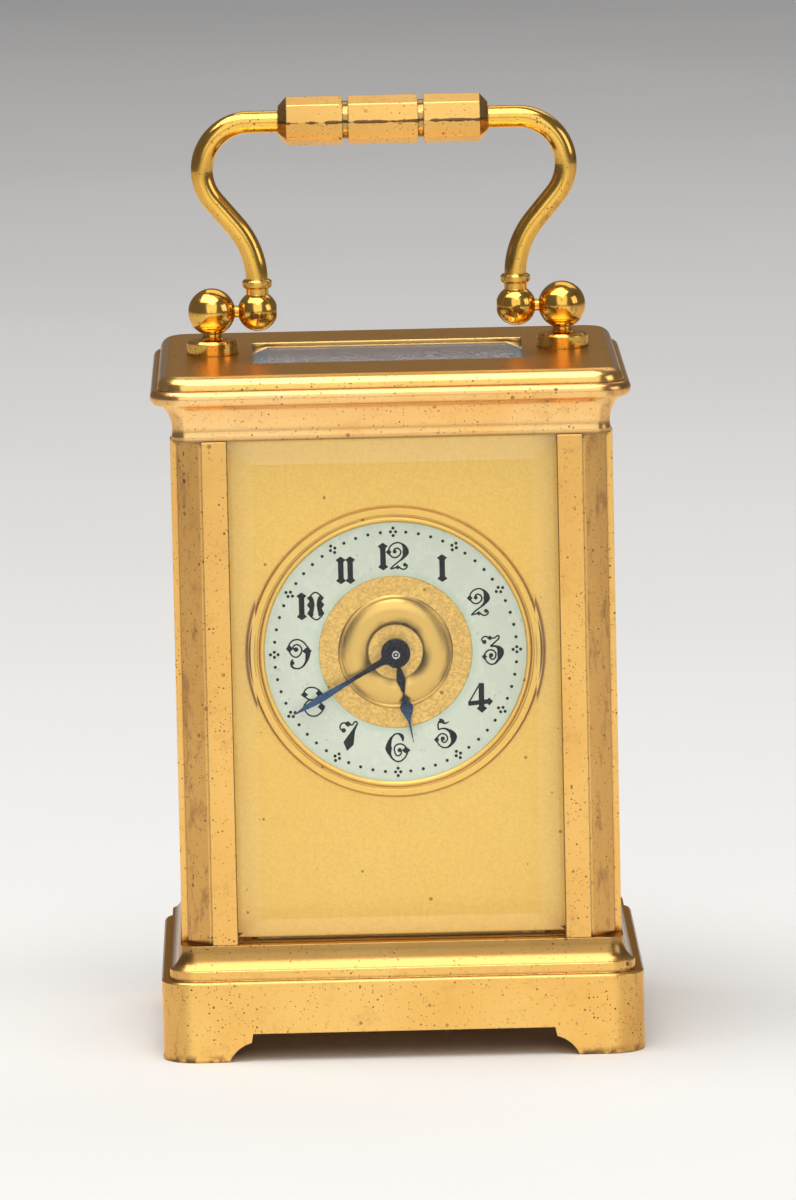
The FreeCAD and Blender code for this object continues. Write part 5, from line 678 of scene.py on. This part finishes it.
SIX = [line((9, 10.4, 1.2), (7.5, 18.7, 2.5), (0, 23), (-8, 18.7, 1.2), (-13.7, 7.5, 3), (-15, -1.5, 4.5),
            (-12, -13.4, 1.5), (-6, -21), (0.7, -23.6), (9, -20), (15, -12), (17, -5)),
       diamond(-15, -1, 5, 6), diamond(14, -5, 6, 6),
       line((15, -1.5), (9, 4.5), (2, 5.7), (-4.5, 1.5), (-5, -6.7), (-1.5, -13.4), (3.7, -12.7), (6, -7.5),
            (3.7, -4.5)),
       ball(3.3, -4.5, 3)]
SEVEN = [line((-9, 9), (-14, 11.5), (-13.4, 19), (-6.7, 22), (-1.5, 19.7)), ball(-9, 9.3, 3.2),
         diamond(-1.5, 19.7, 4.5, 5), line((-1.5, 19.7), (5, 18), (11, 23.4), (14.5, 20.7)),
         blade((14.5, 20.7, 1), (8, 9.3, 2), (-1.5, -13, 7), (-4, -24.8, 0.3))]
EIGHT = [line((-16.4, 13), (-10.4, 22), (-1.5, 24), (7.5, 21), (13.4, 14.5)),
         line((-15, 10.7), (-9.7, 5.5), (0, 3.3), (7.5, 7.8), (12, 13)), diamond(-14, 12, 5, 5),
         diamond(10.4, 13.7, 4.8, 6.7), line((-15.7, -7), (-9, 1), (0, 3.6), (9, 0.3), (16.4, -7)),
         line((-15.7, -10), (-9, -20.6), (0.7, -24.3), (10.4, -20.6), (18.7, -10)),
         diamond(-12.7, -8.7, 3.7, 6), diamond(14, -8.7, 5.2, 6.7)]
NINE = [line((-19.4, 9.4), (-12.7, 21), (-3.7, 24.6), (5, 22), (12.7, 14), (18.7, 5)),
        diamond(-15.7, 9.4, 4.8, 6.7), diamond(13.4, 5, 6.7, 6.7),
        line((15, 6.4, 4), (14, -4, 3), (10.4, -14.5, 1.5), (3.7, -22, 1.1), (-4.5, -24), (-12, -20.4, 1.5),
             (-13.4, -13, 1.2), (-10.4, -8.5)),
        ball(-11, -14.5, 2.7),
        line((-16.4, 6.4), (-12.7, -1), (-5, -4.8), (2, -0.3), (4.5, 8), (0.7, 14.6), (-5, 16), (-9.7, 12.4),
             (-9, 8)),
        ball(-5, 8, 3.3)]
NOUGHT = [line((-9.3, 15.4), (-4.8, 20.6), (0, 22.8), (5.7, 20), (11, 15.4)),
          line((-11.5, -13.7), (-5.5, -19.7), (1, -23), (7, -19.7), (12.4, -13))]
for side in (-1, 1):
    NOUGHT.append(blade((side * 7.5, 17.6, 0.8), (side * 9.3, 14, 4.2), (side * 6.3, 8.7, 3),
                        (side * 8, 1.9, 5.2), (side * 6.3, -4.8, 3), (side * 9.3, -12.2, 4.5),
                        (side * 4.8, -16.7, 0.9)))
figures = {1: [(0, ONE)], 2: [(0, TWO)], 3: [(0, THREE)], 4: [(0, FOUR)], 5: [(0, FIVE)], 6: [(0, SIX)],
           7: [(0, SEVEN)], 8: [(0, EIGHT)], 9: [(0, NINE)], 10: [(-15.4, ONE), (7.8, NOUGHT)],
           11: [(-7.8, ONE), (7.8, ONE)], 12: [(-17.6, ONE), (6, TWO)]}
print("figures drawn:", len(figures))

# %% [markdown]
# ## From strokes to paint
# A curve with a round bevel makes a tube along each stroke. Turned into a mesh, the tubes are pressed
# nearly flat, and every point is then laid on the crowned enamel, so the paint follows its curve.

# %% Lay the numerals on the enamel
TENTH = 0.1 * MM
FIGURE_RADIUS = 16 * MM
MASK_FRONT = -22.5 * MM
CROWN_RADIUS = 60 * MM
CROWN_MIDDLE = 17.375 * MM
CROWN_TOP = 0.778 * MM
PAINT_LIFT = 0.015 * MM
PAINT_PRESS = 0.06


def clear_selection():
    """Nothing stays selected, so that the next operator acts on the new piece alone."""
    bpy.ops.object.select_all(action="DESELECT")


def close_up(sharp, weld=0.0):
    """Turns the faces of the active piece outwards, and smooths what bends less than sharp degrees."""
    bpy.ops.object.mode_set(mode="EDIT")
    bpy.ops.mesh.select_all(action="SELECT")
    if weld:
        bpy.ops.mesh.remove_doubles(threshold=weld)
    bpy.ops.mesh.normals_make_consistent(inside=False)
    bpy.ops.object.mode_set(mode="OBJECT")
    bpy.ops.object.shade_smooth_by_angle(angle=math.radians(sharp))


def enamel_front(x, z):
    """The y of the enamel's front at a point of the dial."""
    away = math.hypot(x, z - DIAL_Z) - CROWN_MIDDLE
    return MASK_FRONT - CROWN_TOP + CROWN_RADIUS - math.sqrt(CROWN_RADIUS ** 2 - away ** 2)


def add_stroke(curve, kind, points, shift):
    """One stroke as a spline of the curve."""
    places = [((x + shift) * TENTH, y * TENTH, 0.0, BOLD * width) for x, y, width in points]
    if kind == "dot":
        x, y, _, width = places[0]
        places = [(x, y, -width * TENTH, width), (x, y, width * TENTH, width)]
    if kind == "smooth":
        spline = curve.splines.new("BEZIER")
        spline.bezier_points.add(len(places) - 1)
        for knot, (x, y, z, width) in zip(spline.bezier_points, places):
            knot.co = (x, y, z)
            knot.radius = width
            knot.handle_left_type = "AUTO"
            knot.handle_right_type = "AUTO"
    else:
        spline = curve.splines.new("POLY")
        spline.points.add(len(places) - 1)
        for knot, (x, y, z, width) in zip(spline.points, places):
            knot.co = (x, y, z, 1.0)
            knot.radius = width


def painted_figure(hour, parts):
    """The mesh of one hour's figure, laid on the dial."""
    clear_selection()
    bpy.ops.curve.primitive_bezier_curve_add()
    piece = bpy.context.object
    curve = piece.data
    curve.splines.clear()
    curve.resolution_u = 6
    curve.bevel_depth = TENTH
    curve.bevel_resolution = 2
    curve.use_fill_caps = True
    for shift, strokes in parts:
        for kind, points in strokes:
            add_stroke(curve, kind, points, shift)
    bpy.ops.object.convert(target="MESH")
    angle = math.radians(30 * hour)
    middle_x = FIGURE_RADIUS * math.sin(angle)
    middle_z = DIAL_Z + FIGURE_RADIUS * math.cos(angle)
    for point in bpy.context.object.data.vertices:
        x = middle_x + point.co.x
        z = middle_z + point.co.y
        point.co = (x, enamel_front(x, z) - PAINT_LIFT - PAINT_PRESS * point.co.z, z)
    return bpy.context.object


painted = [painted_figure(hour, parts) for hour, parts in figures.items()]
print("points in the figures:", sum(len(piece.data.vertices) for piece in painted))

# %% [markdown]
# ## Minute dots
# Outside the numerals runs a ring of dots, one for each minute, and four in a diamond at each hour. One
# small domed dot is modelled from a disc, then copied, and all the paint becomes one piece.

# %% Paint the minute dots
DOT_RING = 20.1 * MM
DOT_RADIUS = 0.27 * MM
DOT_HEIGHT = 0.02 * MM
DOT_DOME = 0.008 * MM
# The four dots of an hour, in millimetres outwards from the ring and along it.
HOUR_DOTS = [(0.62, 0.0), (-0.62, 0.0), (0.0, 0.42), (0.0, -0.42)]
clear_selection()
bpy.ops.mesh.primitive_circle_add(vertices=12, radius=DOT_RADIUS, fill_type="NGON")
dot = bpy.context.object
bpy.ops.object.mode_set(mode="EDIT")
bpy.ops.mesh.select_all(action="SELECT")
bpy.ops.mesh.extrude_region_move(TRANSFORM_OT_translate={"value": (0, 0, DOT_HEIGHT)})
bpy.ops.mesh.inset(thickness=0.05 * MM, depth=DOT_DOME)
bpy.ops.object.mode_set(mode="OBJECT")


def painted_dot(x, z):
    """A copy of the dot, facing forwards, on the enamel."""
    piece = dot.copy()
    piece.data = dot.data.copy()
    bpy.context.collection.objects.link(piece)
    base = enamel_front(x, z)
    for point in piece.data.vertices:
        point.co = (x + point.co.x, base - point.co.z, z + point.co.y)
    return piece


for minute in range(60):
    angle = math.radians(6 * minute)
    for outwards, along in HOUR_DOTS if minute % 5 == 0 else [(0.0, 0.0)]:
        away = DOT_RING + outwards * MM
        x = away * math.sin(angle) + along * MM * math.cos(angle)
        z = DIAL_Z + away * math.cos(angle) - along * MM * math.sin(angle)
        painted.append(painted_dot(x, z))
bpy.data.objects.remove(dot)
clear_selection()
for piece in painted:
    piece.select_set(True)
bpy.context.view_layer.objects.active = painted[0]
bpy.ops.object.join()
numerals = bpy.context.object
numerals.name = "dial_numerals"
close_up(40)
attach(numerals, "case")
print("painted triangles:", sum(len(face.vertices) - 2 for face in numerals.data.polygons))

# %% [markdown]
# The paint itself is almost black, glossy where it was fired well, and thin at a few worn spots.

# %% Dial paint
paint, tree, shader, spot = new_finish("dial_paint")
worn = times(tree, patches(tree, spot, 1400, 0.6, 0.75, 3), 0.35)
feed(tree, shader, {"Base Color": blend(tree, worn, (0.004, 0.004, 0.005), (0.03, 0.03, 0.03)),
                    "Roughness": stretch(tree, cloud(tree, spot, 900), 0.3, 0.7, 0.45, 0.6),
                    "Specular IOR Level": 0.2})
numerals.data.materials.clear()
numerals.data.materials.append(paint)
print("made", paint.name)

# %% [markdown]
# ## The hands
# The hands are cut from sheet steel, with filed edges. A flat curve gives the outline with true arcs, a
# hole for the arbor, a thickness and a bevelled edge in one go; an extruded mesh would need many points
# for the same smoothness. The outline is half widths along the hand, and the round hub closes it.

# %% Cut the hands
HAND_THICKNESS = 0.35 * MM
HAND_BEVEL = 0.08 * MM
# These are in millimetres: the hub's radius, and each hand's half widths at distances from the arbor.
HUB = 2.4
MINUTE_OUTLINE = [(2.27, 0.78), (4.2, 0.5), (8.0, 0.34), (11.5, 0.48), (14.5, 0.6), (17.5, 0.36),
                  (20.0, 0.0)]
HOUR_OUTLINE = [(2.37, 0.4), (3.2, 0.5), (4.4, 0.7), (6.0, 0.4), (7.4, 0.19), (8.3, 0.62), (9.3, 1.08),
                (10.4, 0.75), (11.7, 0.25), (13.4, 0.15), (15.4, 0.0)]
ARC_STEPS = 10
BORE_STEPS = 8


def add_outline(curve, points, sharp=()):
    """A closed smooth outline in millimetres; the points named in sharp are corners."""
    spline = curve.splines.new("BEZIER")
    spline.bezier_points.add(len(points) - 1)
    spline.use_cyclic_u = True
    for index, (knot, (x, y)) in enumerate(zip(spline.bezier_points, points)):
        knot.co = (x * MM, y * MM, 0.0)
        kind = "VECTOR" if index in sharp else "AUTO"
        knot.handle_left_type = kind
        knot.handle_right_type = kind


def cut_hand(name, profile, bore, back, degrees):
    """A hand from (distance, half width) pairs, laid flat in front of the plane y = back."""
    clear_selection()
    bpy.ops.curve.primitive_bezier_curve_add()
    piece = bpy.context.object
    piece.name = name
    curve = piece.data
    curve.splines.clear()
    curve.dimensions = "2D"
    curve.fill_mode = "BOTH"
    curve.resolution_u = 10
    curve.extrude = HAND_THICKNESS / 2 - HAND_BEVEL
    curve.bevel_depth = HAND_BEVEL
    curve.bevel_resolution = 2
    curve.offset = -HAND_BEVEL
    leave = math.asin(profile[0][1] / HUB)
    right = [(width, along) for along, width in profile[:-1]]
    tip = (0.0, profile[-1][0])
    left = [(-x, y) for x, y in reversed(right)]
    arc = []
    for step in range(1, ARC_STEPS):
        angle = -leave - (2 * math.pi - 2 * leave) * step / ARC_STEPS
        arc.append((HUB * math.sin(angle), HUB * math.cos(angle)))
    add_outline(curve, right + [tip] + left + arc, {len(right)})
    ring = [2 * math.pi * step / BORE_STEPS for step in range(BORE_STEPS)]
    add_outline(curve, [(bore * math.sin(angle), bore * math.cos(angle)) for angle in ring])
    bpy.ops.object.convert(target="MESH")
    angle = math.radians(degrees)
    for point in bpy.context.object.data.vertices:
        across, along, height = point.co
        point.co = (along * math.sin(angle) + across * math.cos(angle),
                    back - HAND_THICKNESS / 2 - height,
                    DIAL_Z + along * math.cos(angle) - across * math.sin(angle))
    close_up(35, weld=0.001 * MM)
    piece = bpy.context.object
    piece.data.materials.clear()
    piece.data.materials.append(blued)
    return piece


minute_hand = cut_hand("blued_minute_hand", MINUTE_OUTLINE, bore=0.9, back=-25 * MM, degrees=240)
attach(minute_hand, "hands")
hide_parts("minute_hand")
hour_hand = cut_hand("blued_hour_hand", HOUR_OUTLINE, bore=1.2, back=-24 * MM, degrees=170)
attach(hour_hand, "hour_work")
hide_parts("hour_hand")
for piece in (minute_hand, hour_hand):
    print("cut", piece.name, "with", len(piece.data.polygons), "faces")

# %% [markdown]
# ## The cap over the hands
# A small turned cap hides the end of the arbor. One ring of points is drawn out step by step along its
# profile, as a lathe would see it: a low rim, a raised bright ring, and a dot in the middle. The arbor's
# front is found from the boxes of the parts that stay close to the dial's axis.

# %% Turn the cap
# The cap's profile is (radius, height) in millimetres.
CAP = [(0.95, 0.0), (0.95, 0.16), (0.86, 0.22), (0.68, 0.22), (0.62, 0.3), (0.5, 0.3), (0.44, 0.22),
       (0.2, 0.22), (0.16, 0.28), (0.04, 0.3)]
SLENDER = 2 * MM
boxes = [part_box(name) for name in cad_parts]
arbor_low = min(low.y for low, high in boxes if max(-low.x, high.x) < SLENDER)
clear_selection()
bpy.ops.mesh.primitive_circle_add(vertices=32, radius=CAP[0][0] * MM, fill_type="NOTHING")
cap = bpy.context.object
cap.name = "hand_cap"
bpy.ops.object.mode_set(mode="EDIT")
bpy.ops.mesh.select_all(action="SELECT")
for (radius, height), (next_radius, next_height) in zip(CAP, CAP[1:]):
    bpy.ops.mesh.extrude_edges_move(TRANSFORM_OT_translate={"value": (0, 0, (next_height - height) * MM)})
    bpy.ops.transform.resize(value=(next_radius / radius, next_radius / radius, 1))
bpy.ops.mesh.edge_face_add()
bpy.ops.object.mode_set(mode="OBJECT")
for point in cap.data.vertices:
    point.co = (point.co.x, arbor_low - point.co.z, DIAL_Z + point.co.y)
close_up(30)
print("cap in front of y =", round(arbor_low / MM, 2), "mm")

# %% [markdown]
# The cap is blackened like the hands, but its ring and its dot are polished bright.

# %% Cap finish
cap_steel = satin("steel_cap", (0.02, 0.02, 0.022), (0.012, 0.012, 0.014),
                  gloss=0.2, rough=0.34, scratch=EVEN_SCRATCHES, spots=0.2)
tree, shader, spot, black = reopened(cap_steel)
away = distance_from_axis(tree, spot)
ring = between(tree, away, 0.44, 0.66, 0.02)
polished = largest(tree, ring, stretch(tree, away, 0.17, 0.21, 1.0, 0.0))
feed(tree, shader, {"Base Color": blend(tree, polished, black, (0.75, 0.75, 0.74))})
cap.data.materials.append(cap_steel)
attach(cap, "hands")
print("made", cap_steel.name)

# %% [markdown]
# ## Floor
# The clock stands on a pale sweep: a floor whose far end curves up. Polished brass is a mirror, so much
# of what we see on it is that sweep. A plain backdrop behind a flat floor would be less work, but the
# seam between them would show in every polished face.

# %% Sweep of paper
FLOOR_SIZE = 12
FLOOR_SHIFT = 0.5
WALL_HEIGHT = 4
SWEEP_RADIUS = 1.5
CLOSE = 1e-4


def mark_edges(mesh, wanted):
    """Selects the edges of which both ends pass a test."""
    for edge in mesh.edges:
        edge.select = all(wanted(mesh.vertices[index].co) for index in edge.vertices)


clear_selection()
bpy.ops.mesh.primitive_plane_add(size=1, location=(0, 0, 0))
floor = bpy.context.object
floor.name = "floor"
bpy.ops.object.mode_set(mode="EDIT")
bpy.ops.mesh.select_all(action="SELECT")
bpy.ops.transform.resize(value=(FLOOR_SIZE, FLOOR_SIZE, 1))
bpy.ops.transform.translate(value=(0, FLOOR_SHIFT, 0))
bpy.ops.mesh.select_all(action="DESELECT")
bpy.ops.object.mode_set(mode="OBJECT")
far = max(point.co.y for point in floor.data.vertices)
mark_edges(floor.data, lambda end: abs(end.y - far) < CLOSE)
bpy.ops.object.mode_set(mode="EDIT")
bpy.ops.mesh.select_mode(type="EDGE")
bpy.ops.mesh.extrude_edges_move(TRANSFORM_OT_translate={"value": (0, 0, WALL_HEIGHT)})
bpy.ops.object.mode_set(mode="OBJECT")
mark_edges(floor.data, lambda end: abs(end.y - far) < CLOSE and abs(end.z) < CLOSE)
bpy.ops.object.mode_set(mode="EDIT")
bpy.ops.mesh.bevel(offset=SWEEP_RADIUS, segments=16)
bpy.ops.object.mode_set(mode="OBJECT")
bpy.ops.object.shade_smooth()
paper, tree, shader, spot = new_finish("floor_paper")
tone = blend(tree, patches(tree, spot, 3, 0.3, 0.7), (0.8, 0.79, 0.77), (0.77, 0.76, 0.74))
feed(tree, shader, {"Base Color": tone, "Roughness": 0.75})
floor.data.materials.append(paper)
print("floor faces:", len(floor.data.polygons))

# %% [markdown]
# ## Light
# One wide soft lamp hangs almost overhead and models the forms, as a low one would blow out the upright
# faces. A large dim card in front is what those faces mirror, a weak lamp at the right keeps the shadows
# open, and one behind draws the rims and lights the movement.

# %% Lamps and surroundings
AIM = Vector((0, 0, 0.07))


def soft_lamp(name, spot, width, height, watts, tint=(1.0, 1.0, 1.0)):
    """A rectangular lamp that looks at the middle of the clock."""
    light = bpy.data.lights.new(name, "AREA")
    light.shape = "RECTANGLE"
    light.size = width
    light.size_y = height
    light.energy = watts
    light.color = tint
    lamp = bpy.data.objects.new(name, light)
    bpy.context.collection.objects.link(lamp)
    lamp.location = spot
    lamp.visible_camera = False
    lamp.rotation_euler = (AIM - Vector(spot)).to_track_quat("-Z", "Y").to_euler()
    print("lit", name, "with", watts, "W")


soft_lamp("key_lamp", (-0.25, -0.35, 1.45), 1.8, 1.1, 25.0, (1.0, 0.99, 0.97))
soft_lamp("front_card", (0.0, -2.6, 1.35), 2.6, 2.6, 20.0)
soft_lamp("fill_lamp", (1.3, -0.5, 0.6), 0.7, 0.7, 3.0)
soft_lamp("back_lamp", (0.4, 1.3, 1.7), 1.8, 1.2, 7.5)
world = bpy.data.worlds.new("surroundings")
world.use_nodes = True
world.node_tree.nodes["Background"].inputs["Color"].default_value = (0.2, 0.2, 0.21, 1.0)
bpy.context.scene.world = world
print("made", world.name)
